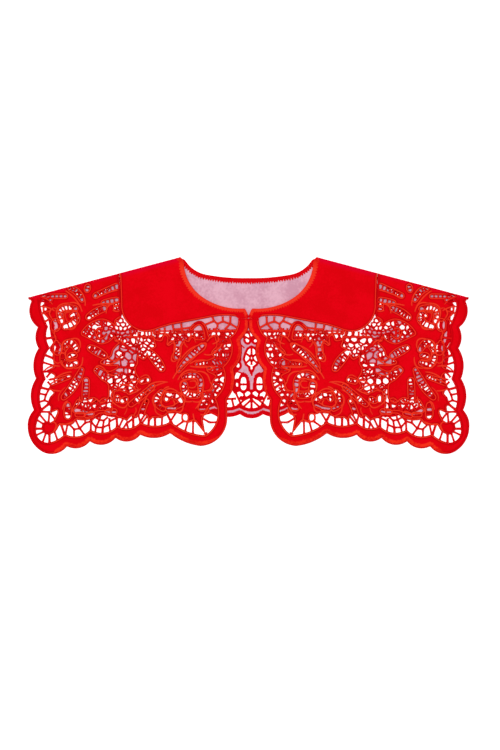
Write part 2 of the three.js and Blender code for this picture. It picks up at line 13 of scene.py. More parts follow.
import bpy
import numpy as np
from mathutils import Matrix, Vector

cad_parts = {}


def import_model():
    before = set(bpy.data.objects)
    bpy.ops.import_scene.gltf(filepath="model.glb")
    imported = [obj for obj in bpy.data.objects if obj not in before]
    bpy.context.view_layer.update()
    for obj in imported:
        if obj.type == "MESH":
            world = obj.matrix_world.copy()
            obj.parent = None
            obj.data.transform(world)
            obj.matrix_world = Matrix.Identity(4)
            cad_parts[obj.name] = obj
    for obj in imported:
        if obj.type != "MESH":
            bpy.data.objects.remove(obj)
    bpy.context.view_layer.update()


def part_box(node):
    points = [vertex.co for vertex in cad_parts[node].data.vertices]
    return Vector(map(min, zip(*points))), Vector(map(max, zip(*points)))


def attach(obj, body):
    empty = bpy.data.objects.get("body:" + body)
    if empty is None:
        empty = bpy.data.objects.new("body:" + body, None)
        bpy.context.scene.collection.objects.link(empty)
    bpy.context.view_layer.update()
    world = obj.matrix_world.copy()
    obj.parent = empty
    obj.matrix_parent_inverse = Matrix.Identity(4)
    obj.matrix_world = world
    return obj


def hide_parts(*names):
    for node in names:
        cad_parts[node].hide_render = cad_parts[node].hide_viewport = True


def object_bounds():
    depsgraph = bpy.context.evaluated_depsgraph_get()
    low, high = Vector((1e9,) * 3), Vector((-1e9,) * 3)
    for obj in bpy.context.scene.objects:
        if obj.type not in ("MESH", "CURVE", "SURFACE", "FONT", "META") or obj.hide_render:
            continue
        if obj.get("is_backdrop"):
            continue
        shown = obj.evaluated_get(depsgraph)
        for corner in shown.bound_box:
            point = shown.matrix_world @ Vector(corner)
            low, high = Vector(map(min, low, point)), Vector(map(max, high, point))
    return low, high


LOG = logging.getLogger("collar")

Array = np.ndarray
Row = tuple[float, ...]
Table = list[Row]
Colour = tuple[int, int, int]
Faces = list[tuple[Array, int]]  # rows of corners, each with the material slot of its faces
Fields = dict[str, Array]
Placer = Callable[[Array, Array], Array]
Piece = bpy.types.Object
Pieces = list[Piece]
Material = bpy.types.Material
Tree = bpy.types.NodeTree
Socket = bpy.types.NodeSocket
Inputs = dict[str | int, object]

# The working chart
CHART_WIDTH = 441.0
CHART_MIDDLE = 104.9  # the row that lies at Y = 0
BACK_LEAN = 3.0  # squares by which the back hangs to one side
BACK_LEAN_DEPTH = 55.0  # squares below the fold at which it has leaned that far
FOLD_TIP = (220.3, 162.5)
FOLD_NECK = (65.7, 203.5)
YOKE_AT_FOLD = (128.9, 185.4)
PIECE_GAP = 0.25

# In every table a row leaves out the noughts at its end.
# Outlines. Columns: out, up, bulge of the arc to the next row, to the right of the way
FRONT_EDGE: Table = [
    (0.05, 141.6), (0.05, 132.4), (1.3, 128.2, 0.3), (8.5, 119.3, 4.7), (14.9, 90.8, 4.1), (21.5, 60.7, 0.2),
    (21.2, 44, 8.4), (47.7, 14.1, 2.4), (78.2, 26.8, 4), (108, 25.3, 5.2), (132.7, 22.2, 5.2),
    (158.3, 18.8, 4.3), (181.2, 13.8, 4.9), (206.5, 8.7, 3.7), (220.5, 33.5, 1.9), (214.3, 50.1, 4.2),
    (212.2, 81.5, 3.9), (209.6, 111.7, 2.8), (210.2, 132.6, 5), (216.5, 158.6),
]
FRONT_INNER: Table = [
    (10.5, 141.5, 0.6), (11.7, 133.2, 0.4), (15.1, 126.3), (20.5, 122.1, 5.8), (27, 93.5, 6), (35.1, 62, 0.9),
    (31.1, 48.5, 3.8), (43.5, 25, 3), (77.9, 38.8, 4), (108.1, 38.2, 4.3), (131.3, 34.5, 5), (158, 30.8, 4.6),
    (183.2, 26.4, 1.3), (199.5, 17.6, 4.5), (211.9, 31, 1.7), (205.4, 49, 4.3), (202.3, 81, 4.6),
    (198.1, 112, 2.8), (200, 133.3, 1.6), (208.2, 160),
]
GROUND_TOP: Table = [(208, 161), (180, 165), (128.6, 175)]
BACK_GROUND_TOP: Table = [(180, 163), (129, 174)]
YOKE_FRONT: Table = [
    (127.7, 156.7, -6.3), (107.3, 128.4, -1.3), (90.1, 131.1), (78.5, 134.7), (36.2, 142.8, 0.9),
    (14.5, 143.6, 0.6), (10.5, 141.5),
]
YOKE_BACK: Table = [(128.6, 160, -6), (104, 128), (-30, 128)]
NECK_FRONT: Table = [(0.6, 145.4), (1.3, 147.2), (3.5, 151.5, 3.7), (45.5, 162.5, 4.4), (64.5, 196)]
NECK_BACK: Table = [(64, 201, -2.9), (42.5, 185.5, -1.1), (0, 182)]
PLACKET: Table = [(0.05, 141.8), (0.05, 145.4)]
PLACKET_SEAM: Table = [(10, 141.6), (0.3, 141.7)]
# Width of the neck band. Columns: share of the way from the front opening to the middle of the back,
# and the width
BAND_WIDTHS: Table = [(0, 3.2), (0.2, 3.5), (0.45, 4.4), (0.6, 4.6), (0.8, 4.9), (1, 5.4)]
BACK_EDGE: Table = [
    (-30, 44), (-11.5, 45.8, 4.2), (11.5, 45.8, 3.6), (37, 47.5, 3.6), (64, 50, 3.8), (92, 50.5, 3.8),
    (120, 48.5, 3.8), (148, 45, 3.6), (172, 44, 6.5), (190.5, 62, 3), (192.5, 88, 3), (195.5, 113, 2.5),
    (199.5, 134, 1), (202, 157),
]
BACK_INNER: Table = [
    (-30, 52), (-11.8, 56.5, 4.6), (11.8, 56.5, 4.2), (37, 58, 4.2), (64, 60, 4.2), (92, 60.5, 4.2),
    (120, 58.5, 4.2), (147, 54.5, 3.6), (168, 54.5, 4.6), (180.5, 66, 3.2), (182.5, 89, 3), (185.5, 113, 2.5),
    (188.5, 134, 1), (191.5, 159),
]
OUTER_SPRAY: Table = [
    (128.7, 192), (127.7, 157), (126.2, 145.5), (127, 142.7), (132.7, 138.7), (131, 135.7), (134, 133, -1.3),
    (146.2, 139.7, -3), (166.1, 126.2), (148.5, 117.4, -1.9), (135.5, 123.7), (131, 125.7),
    (132.5, 119.7, 0.4), (128.7, 118.8, 0.8), (128.2, 116, -0.5), (135, 109.2, 0.4), (137, 103, 0.3),
    (141, 101.4), (147.7, 97.4), (140.5, 95.7), (129.5, 96, 1), (130.5, 91, 0.3), (138.5, 87.2), (145, 88.7),
    (151.2, 91.8, -2), (151.7, 87.5), (146, 81.3), (141.2, 78.7, 0.8), (138.3, 73.5), (138.5, 63),
    (139.7, 60.2, 0.3), (145, 61.2, 0.8), (150.5, 57.5, -0.5), (154.7, 61.5), (157.9, 60.5), (165.5, 58),
    (167.5, 56), (169.1, 60.5), (171, 58), (174.7, 50.7), (172.5, 47, 1), (172.5, 41, 1.6),
    (178.5, 34.8, 0.4), (188.5, 35.5), (191, 30.5, 1), (199.5, 25.4, 3), (206.2, 35, 1), (203, 38.2, 0.8),
    (197.7, 37.7), (194.7, 39.5), (191.2, 47), (190.7, 50), (197, 47.2), (198.3, 48.5), (197.8, 53.7),
    (201.2, 55.7), (198.5, 63), (194.5, 67.2), (196.7, 69.4), (200, 71.2), (198, 75), (194.5, 77), (199, 80),
    (201.2, 80.8), (194, 82), (193.7, 84.5), (196.5, 86.4), (204.8, 88.1), (198, 91.5), (194.3, 93.5),
    (195.2, 100), (195.5, 106), (198.2, 109.3), (198.2, 113.2), (194, 119), (193.2, 122.7), (198.5, 129.8),
    (198.7, 134.5), (199.8, 140), (201.5, 144.5), (204.3, 149), (205.3, 153), (208.5, 156.5), (212, 158.5),
    (215, 172),
]
INNER_SPRAY: Table = [
    (95.2, 126, -0.5), (92, 121.2), (87.2, 120.2, 0.3), (86.2, 124.5, 0.8), (82.5, 126, 0.8), (79, 122),
    (80.2, 115.5), (76.5, 118, 0.5), (74, 118.5), (72.5, 115), (68, 114.5), (65.5, 119), (64, 123),
    (60.5, 119), (59, 122, 0.3), (56, 124, 0.6), (53, 121.5), (47, 121.5), (41, 119.5), (38.5, 123, 0.4),
    (33.5, 125.5, 0.6), (31.8, 121, 0.3), (30.2, 116, 0.6), (32.2, 111, -0.3), (36, 106.7), (31.5, 102.5),
    (40, 98.5), (40.5, 89.7), (34.5, 87, 0.6), (31, 83, 0.3), (34.5, 79.5), (36, 73, 1), (40.5, 68.5, 0.8),
    (44.5, 68.5), (45.5, 62), (47, 56), (49, 53), (48, 50.5), (43.5, 50.5, 0.5), (40, 55, 0.5), (37, 57),
    (40.5, 49), (43, 46), (45.7, 41.5), (43, 25.6), (54, 39.5), (58.5, 38, 0.5), (61, 37.5, 0.4), (66, 39, 1),
    (66.5, 45.5, 0.4), (72, 47.5, 0.4), (81, 46.5, 0.8), (84.7, 43.3, 0.8), (90, 42, 0.6), (95, 42.7),
    (99.5, 38.5), (102.2, 44.8), (109.3, 45), (112, 41.5), (116.5, 44.4), (121.5, 39), (126, 41.3),
    (130.5, 42), (135, 46), (138, 55), (136.5, 60), (135.5, 67, 1.5), (130.5, 70.5, 1), (124, 69, 1),
    (119.5, 66.5), (110.7, 70), (114, 74.3), (110, 80.5), (113.5, 86), (115, 92), (111.8, 97, 0.5),
    (111.5, 107), (109, 104.5), (104.5, 101.5), (101.5, 107), (99, 111.5), (93.5, 114), (95.5, 119),
]

# Slits, panes and crescents. Columns: start, middle and end, each out and up, the width at each, and
# the number of threads that cross the slit
OUTER_SLITS: Table = [
    (204.5, 163.4, 193.5, 163.5, 182.5, 163.6, 2.2, 2, 2.2, 5),  # by the fold
    (201.3, 158.8, 199.4, 159.5, 197.5, 160.2, 2.4, 2.6, 2.2),  # lower tip
    (205.9, 156, 205, 157.6, 204.2, 159.1, 2.6, 2.6, 2.2),  # corner of the tip
    (202.8, 150.8, 201.2, 149.6, 199.6, 148.8, 2.8, 3, 2.8, 1),  # under the tip
    (178, 171.2, 171, 167.8, 166.1, 160, 2.4, 4.2, 2.6, 5),  # fold leaf
    (160.3, 173.2, 160.7, 171.6, 161.2, 170, 3.2, 3.6, 3.2, 1),  # fold oval
    (152.7, 164, 143, 168.7, 131.2, 173.2, 3.2, 3, 4.4, 6),  # upper slit
    (145, 157, 138.5, 158.4, 131.2, 160, 2.4, 3.6, 2.9, 3),  # second slit
    (133, 155.6, 131.4, 155.6, 129.8, 155.6, 2, 2, 2),  # dot by the yoke
    (132.3, 151.6, 131.2, 151.7, 130, 151.7, 3.2, 3.2, 3.2),  # pane by the yoke
    (159.5, 142.7, 152, 148, 144, 151.4, 3.8, 4.6, 3.8, 5),  # third slit
    (158, 112, 150.5, 108.2, 143.7, 104.2, 3.9, 5.8, 3.9, 5),  # fifth slit
    (162.2, 79.5, 162.6, 69, 162.9, 58, 4, 4.6, 3.8, 6),  # long slit
    (166.5, 90.5, 174, 75.5, 184.7, 62.5, 2.2, 5.6, 2.8, 9),  # ladder
    (197, 77.7, 188, 80.4, 179, 83.4, 4.4, 3, 2, 3),  # leaf bay
    (180.2, 55.5, 180.5, 48.5, 180.3, 44, 2.4, 5, 4.4, 3),  # teardrop
    (186.7, 138.5, 186, 150, 172.5, 151.2, 3.2, 4.4, 3, 7),  # round the first scroll
    (172.8, 145.5, 173, 138.5, 183, 133.2, 3.8, 4.6, 3.8, 5),  # inside the first scroll
    (177, 144, 175.2, 145.3, 173.5, 146.5, 1.8, 1.8, 1.8),  # eye of the first scroll
    (192.4, 137, 192.4, 134.5, 192.6, 132.6, 6.6, 7, 6),  # side pane
    (193.3, 116.2, 192.4, 117.1, 191.6, 118, 1.8, 1.8, 1.8),  # side dot
    (190.6, 113.2, 190.6, 111, 190.6, 109, 6.2, 6.6, 6),  # lower side pane
    (184.6, 109.4, 178.5, 117.2, 171.2, 110, 2.8, 5, 3, 5),  # over the second scroll
    (178.6, 103.7, 175.8, 104.8, 172.7, 104.6, 2.6, 3.2, 2),  # eye of the second scroll
    (185.5, 104.5, 182.5, 96, 172.3, 97, 2.8, 4, 3.2, 5),  # under the second scroll
]
INNER_SLITS: Table = [
    (98.5, 107, 92, 99.5, 86.7, 91.7, 4.4, 6.4, 4.4, 5),  # net slit
    (106.5, 78.3, 103.3, 79.3, 100.2, 80.2, 2.8, 2.8, 3, 1),  # eye of the leaf
    (95.3, 74, 105, 65.5, 117.5, 55.5, 2.4, 3.8, 2.8, 9),  # long ladder
    (101.5, 59, 104.2, 54, 107, 46, 2.4, 3, 3.2, 3),  # short ladder
    (46.2, 113.5, 58, 103.5, 70, 89, 4.4, 4.8, 2, 8),  # crest slit
    (51.5, 95.7, 43.5, 96.8, 35.5, 96.2, 2, 3, 4.6, 5),  # low slit
    (70.3, 116.5, 71, 108, 71.7, 103, 4.6, 4.8, 4, 3),  # top slit
    (64.5, 83, 51, 82.8, 48, 69, 2.6, 5, 2.6, 6),  # over the third scroll
    (64, 75.5, 61.5, 67, 51, 65.5, 4.6, 4.6, 4.6, 3),  # round the third scroll
    (86.5, 68.5, 91.7, 59, 85, 51.2, 2.6, 4, 2.6, 6),  # round the fourth scroll
    (80.5, 51.1, 77, 51.6, 73.7, 52.1, 2.6, 2.6, 2.6),  # foot of the fourth scroll
    (71.5, 54, 69, 55.1, 66.5, 56.2, 2.8, 2.8, 2.8),  # side of the fourth scroll
    (77, 64.5, 72, 63.7, 67.2, 58.5, 4.2, 4, 2.6, 2),  # over the fourth scroll
    (80.5, 65.5, 81.2, 63, 82, 60.5, 3.2, 3.8, 2.8, 1),  # eye of the fourth scroll
    (63.2, 43.6, 63.2, 42.5, 63.2, 41.4, 4.4, 4.6, 4.4),  # corner ring
    (130.8, 63, 130.8, 61.3, 130.8, 59.7, 2.8, 2.8, 2.8),  # left pane of the ring
    (126.2, 59.2, 124.2, 59.8, 122.5, 61.2, 3.2, 3.4, 3.2, 1),  # right pane of the ring
    (48, 51.7, 46.5, 51.8, 45, 51.8, 2.8, 2.8, 2.8),  # heel
]
GARLAND_SLITS: Table = [
    (171.2, 45.5, 168.1, 45.5, 165, 45.5, 2.2, 2.2, 2.2),
    (162, 44.5, 159, 45.6, 156, 46.4, 2.2, 2.2, 2.2),
    (141, 48, 137.3, 48.4, 133.5, 48.7, 2.8, 2.8, 2.8, 1),
]
# Raised strokes of cloth in the ground, in the same columns
FRONT_STROKES: Table = [
    (41.5, 121, 47, 136.2, 57.3, 131, 6, 5, 4.6),  # arch over the crest
    (153.6, 129.5, 149, 121.2, 141.8, 126, 2.4, 2.8, 2.2),  # outside of the scroll in the leaf
    (145, 131.4, 150.6, 131, 149.6, 126, 2.2, 2.4, 2),  # inside of that scroll
    (174, 44.5, 160.5, 44, 149.5, 48.5, 7, 8, 5),  # first garland
    (151, 48, 141.5, 48.2, 131.5, 46.5, 5, 5, 5),  # second garland
]
BACK_STROKES: Table = [
    (8, 82.5, 8, 76.5, 8, 71, 9, 11.4, 9),  # rings
    (1, 64.5, 5.2, 61.8, 10.2, 62, 3, 3.4, 4.4),  # hooks
    (1, 68.8, 8, 70.6, 16, 68.2, 2.6, 2.6, 3),  # bows over the hooks
    (8.2, 68, 7.3, 65, 6.6, 62, 2.2, 2.2, 2.4),  # ties between bow and hook
    (14, 92, 19, 81, 16.5, 68, 4, 4, 3.4),  # sides
    (14.6, 79, 14.6, 75.5, 14, 71.5, 5.4, 6, 5),  # cloth between ring and side
    (0, 92, 0, 88.5, 0, 84.5, 4.8, 3, 0.8),  # tail of the lens
]
BACK_SLITS: Table = [
    (8, 80.6, 8, 76.5, 8, 72.4, 4.6, 5.8, 5),  # rings
    (14.6, 76.4, 14.4, 75.2, 14.3, 74, 1.8, 2, 1.6),  # eye beside the ring
    (13.9, 96, 13.7, 94.9, 13.4, 93.8, 2.6, 3.2, 2.6),  # eye beside the lens
    (0, 92.6, 0, 91.9, 0, 91.2, 1.6, 1.9, 1.5),  # eye under the lens
    (4.6, 124.8, 4.4, 123.6, 4.2, 122.4, 3.4, 3.8, 3),  # petals over the lens
    (4.3, 120.4, 4.1, 119.7, 3.8, 119, 3.2, 3.2, 2.6),
    (0, 126.6, 0, 125.6, 0, 124.6, 2.4, 2.6, 2),
]
BACK_GAPS: Table = [(160.5, 136.5, 156, 134, 151, 131.5, 6, 7.5, 6)]  # under the front's leaf
# The stem in the middle of the back and the lens in it, as outlines
BACK_MIDDLE: Table = [
    (-10, 130), (12.5, 130), (12.5, 121), (11.6, 112), (11.8, 104), (11.6, 99.5), (14, 98.5), (17, 96),
    (17.6, 91.5), (18, 90), (14.5, 87.5), (9.5, 86), (5.5, 82), (2.7, 76), (2.7, 70), (1.2, 67), (1.2, 51),
    (-10, 51),
]
BACK_LENS: Table = [
    (-5, 112.2), (0, 112.2), (2.8, 110.6), (5.2, 106), (6.4, 101), (4.4, 96.3), (1.4, 93.9), (0, 93.9),
    (-5, 93.9),
]
BACK_LEAF: Table = [(20, 111), (29, 110.5), (34, 102), (41, 97.5), (40, 91), (31, 94.5), (23, 99)]
BACK_PETAL: Table = [
    (124.5, 114), (111.5, 114), (113.5, 104), (114.5, 96), (130.5, 96), (128.5, 103),
]
# The back repeats the sprays a little smaller. Columns: out scale, out shift, up scale, up shift
BACK_OUTER_PLACE: Row = (0.86, 3.6, 0.79, 36.5)
BACK_INNER_PLACE: Row = (0.78, 1.5, 0.7, 37.5)

# Bars of the ground. Columns: start and end, each out and up, and 1 where the bar is a stout one
FRONT_BARS: Table = [
    (207.2, 146.1, 197.5, 149.2), (204.6, 152, 204.3, 146.7), (203.5, 146.7, 197.7, 139.8),
    (203.3, 138.2, 197.9, 141.4), (201.2, 121.6, 193.2, 122.6, 1), (201.7, 104.4, 194.9, 101.7, 1),
    (204.3, 97.4, 194.5, 94.4), (201.7, 82.6, 198.3, 86.8), (200.6, 78.4, 196.7, 74),
    (205.5, 72.1, 199.2, 70.4, 1), (199.5, 70.2, 202.3, 65.2), (202.3, 65.2, 207.2, 66.2),
    (202.3, 65.2, 203.7, 59.7), (203.7, 59.7, 207.8, 58.4), (203.7, 59.7, 200, 58.2),
    (200.3, 55.5, 205.3, 51.4, 1), (204.5, 48.3, 198.2, 48.1), (206.7, 43.4, 202.5, 38.4),
    (198.7, 47.8, 199.6, 38.4), (198, 47, 193.5, 41.2), (209.3, 39, 204.7, 36), (211, 31.4, 205.7, 31.4, 1),
    (209.7, 26, 204.7, 28.4), (204.9, 19.7, 202.8, 25.7), (198.7, 18.5, 198.8, 25.5, 1),
    (190.9, 20.7, 193.3, 27.5), (186.8, 35, 183.9, 26, 1), (180.7, 35.5, 182.5, 27),
    (174.2, 23.7, 174.1, 30.8), (174.1, 30.8, 178.2, 35), (174.1, 30.8, 168.5, 31.7),
    (168.5, 31.7, 172.2, 39.2), (168.5, 31.7, 164.2, 26), (168.5, 31.7, 163, 37.3), (163, 37.3, 163.3, 40.5),
    (163, 37.3, 157.3, 38.7), (157.3, 38.7, 157.5, 30.7), (157.3, 38.7, 154.5, 42), (157, 38.2, 152.3, 32.8),
    (152.3, 32.8, 153, 28.2), (152.3, 32.8, 148.8, 40.3), (152.3, 32.8, 145.5, 32.6),
    (145.5, 32.6, 145.9, 26.5, 1), (145.5, 32.6, 144.5, 39.5), (144.5, 39.5, 148.8, 40.3),
    (144.5, 39.5, 140.5, 43), (148.8, 40.3, 147.2, 46.2), (148.8, 40.3, 153.9, 43.2),
    (145.5, 32.6, 139.2, 35.5), (139.2, 35.5, 138.2, 29.2), (139.2, 35.5, 138.9, 42),
    (138.9, 38.7, 132.2, 42), (131.7, 42.5, 131.2, 34, 1), (168.2, 56, 162.5, 48.5), (162.5, 58, 167, 49),
    (161.7, 57.5, 160.2, 49), (161, 58, 153.5, 50.5), (154.5, 61, 160, 51.5), (158.5, 55.5, 151.5, 56.7),
    (150.7, 57.5, 153, 50), (150.5, 57, 144, 49), (145.2, 60.5, 150, 52), (144.5, 60, 140.7, 56),
    (141.5, 60.5, 142.5, 51.5), (149, 55, 141.5, 57), (125.5, 41, 129, 33.5), (120.5, 39, 125.5, 31),
    (121.5, 36.5, 119.7, 30), (115.2, 43, 115, 32.2, 1), (120.5, 37.5, 115.5, 41.5), (109.7, 44, 108.2, 38),
    (104, 45, 108, 38.5), (101.7, 43, 106.5, 36.7), (99.5, 39, 100, 33.5, 1), (93.5, 43, 93.2, 32.5, 1),
    (86.2, 43, 86.7, 33), (81.5, 46.5, 77.5, 38.5, 1), (72.5, 47.5, 77.7, 39), (65.5, 38.5, 71.2, 34.5),
    (61, 37.5, 63, 30), (55.3, 39.5, 55.5, 27.5), (43.7, 40.5, 39, 37.7), (39, 37.7, 33.2, 37.8),
    (42.5, 28, 42.5, 24.5, 1), (39, 48.5, 31.7, 45.2, 1), (43.5, 61.5, 35, 62, 1), (36.8, 69, 37.2, 62),
    (40.5, 61, 38, 57), (43.5, 68, 36.5, 68.5), (35, 78, 26.5, 72.5, 1), (35, 69, 28.5, 66),
    (31, 82.7, 24.5, 84.5), (34, 87.5, 26, 90, 1), (40, 90, 27, 93.5), (32, 101, 27, 94),
    (31.5, 102.2, 22.5, 100, 1), (32, 110.5, 26.5, 102), (28.5, 109, 18, 108.5), (30, 115, 17, 117.5),
    (25, 117, 26, 108), (31.5, 121.5, 19, 119.5), (36, 143, 34.5, 139), (34.5, 139, 42.5, 135.5),
    (34.5, 139, 31, 136), (31, 136, 31, 132.5), (31, 132.5, 34.5, 129.8), (31, 136, 25.8, 138.5),
    (25.8, 143.5, 25.5, 138.5), (25.5, 138.5, 19, 136.2), (18, 143.5, 18.3, 136.2),
    (18.5, 136.2, 23.5, 130.5), (18.3, 136.2, 12.8, 133), (39.5, 129, 15, 129.5), (23.5, 130.5, 24, 122),
    (94.7, 130, 94.5, 125.5), (89.1, 131, 88.9, 126), (83.7, 132.5, 83.5, 126), (75.7, 135, 74, 126.5),
    (67.3, 136.5, 66.2, 127.5), (75, 130.2, 60, 132), (94.5, 126.3, 83.5, 126.3), (77, 126.3, 60.5, 127.5),
    (117.5, 129.5, 117.5, 123), (110, 128.5, 110, 123), (103.7, 129, 103.7, 123), (97, 129.5, 97, 123),
    (123, 123, 94, 123), (128.3, 117.5, 111.5, 107, 1), (129.5, 93, 115, 92, 1), (138.3, 73.5, 130, 70.5),
    (146, 139, 148, 118), (147.8, 92.5, 152.2, 84.5), (143.6, 90, 148, 82), (140.1, 88, 144.5, 80),
]
BACK_BARS: Table = [
    (0, 111, 0, 105, 1), (0, 105, 1.9, 102), (1.9, 102, 0, 98.6), (0, 98.6, 0, 95, 1),
    (1.6, 103.8, 5.2, 106.2, 1), (1.7, 100.2, 5.4, 97.2, 1), (8, 75.6, 11, 75.6, 1), (8, 75.6, 5, 75.6, 1),
    (19, 80, 28, 80, 1), (18, 91, 30, 90, 1), (7, 112, 16, 120), (2, 121, 8, 124), (8, 124, 8, 128),
    (8, 124, 16, 120), (16, 120, 22, 128), (16, 120, 30, 117), (6.4, 61, 11, 56.8, 1),
    (1.2, 59.4, 7.6, 53.4, 1), (11.2, 57, 15.6, 67, 1), (15.4, 61.4, 25, 61, 1), (19.6, 61, 18, 54, 1),
    (38, 64, 37, 55, 1), (50, 68, 56, 52, 1), (76, 70, 78, 52, 1), (104, 68, 106, 51, 1),
    (30, 121, 30, 128, 1), (52, 119, 52, 128, 1), (74, 116, 74, 128, 1), (88, 108, 96, 128, 1),
    (88, 95, 122, 111, 1), (100, 82, 122, 86, 1), (124, 84, 123, 52, 1), (138, 84, 138, 52, 1),
    (157, 72, 154, 52, 1), (166, 66, 172, 54, 1), (174, 62, 184, 64, 1), (170, 88, 184, 88, 1),
    (170, 107, 187, 107, 1), (172, 132, 190, 128, 1),
]
# Places that hold a fine irregular net. Columns: lowest out and up, highest out and up, cell
FRONT_NETS: Table = [
    (131.5, 118, 166, 140.5, 5.4), (95, 64, 110, 124, 6.5), (110, 64, 142, 124, 7.8),
    (45, 117, 80, 129, 4.4), (14, 118, 40, 131, 4.6), (14, 101, 36, 118, 5.6), (20, 76, 41, 101, 6),
    (76, 116, 98, 126, 4.6), (112, 124, 134, 145, 4.5), (118, 42, 136, 58, 4.6), (30, 55, 48, 72, 5.2),
]
BACK_NETS: Table = [(25, 54, 190, 128, 7.5)]
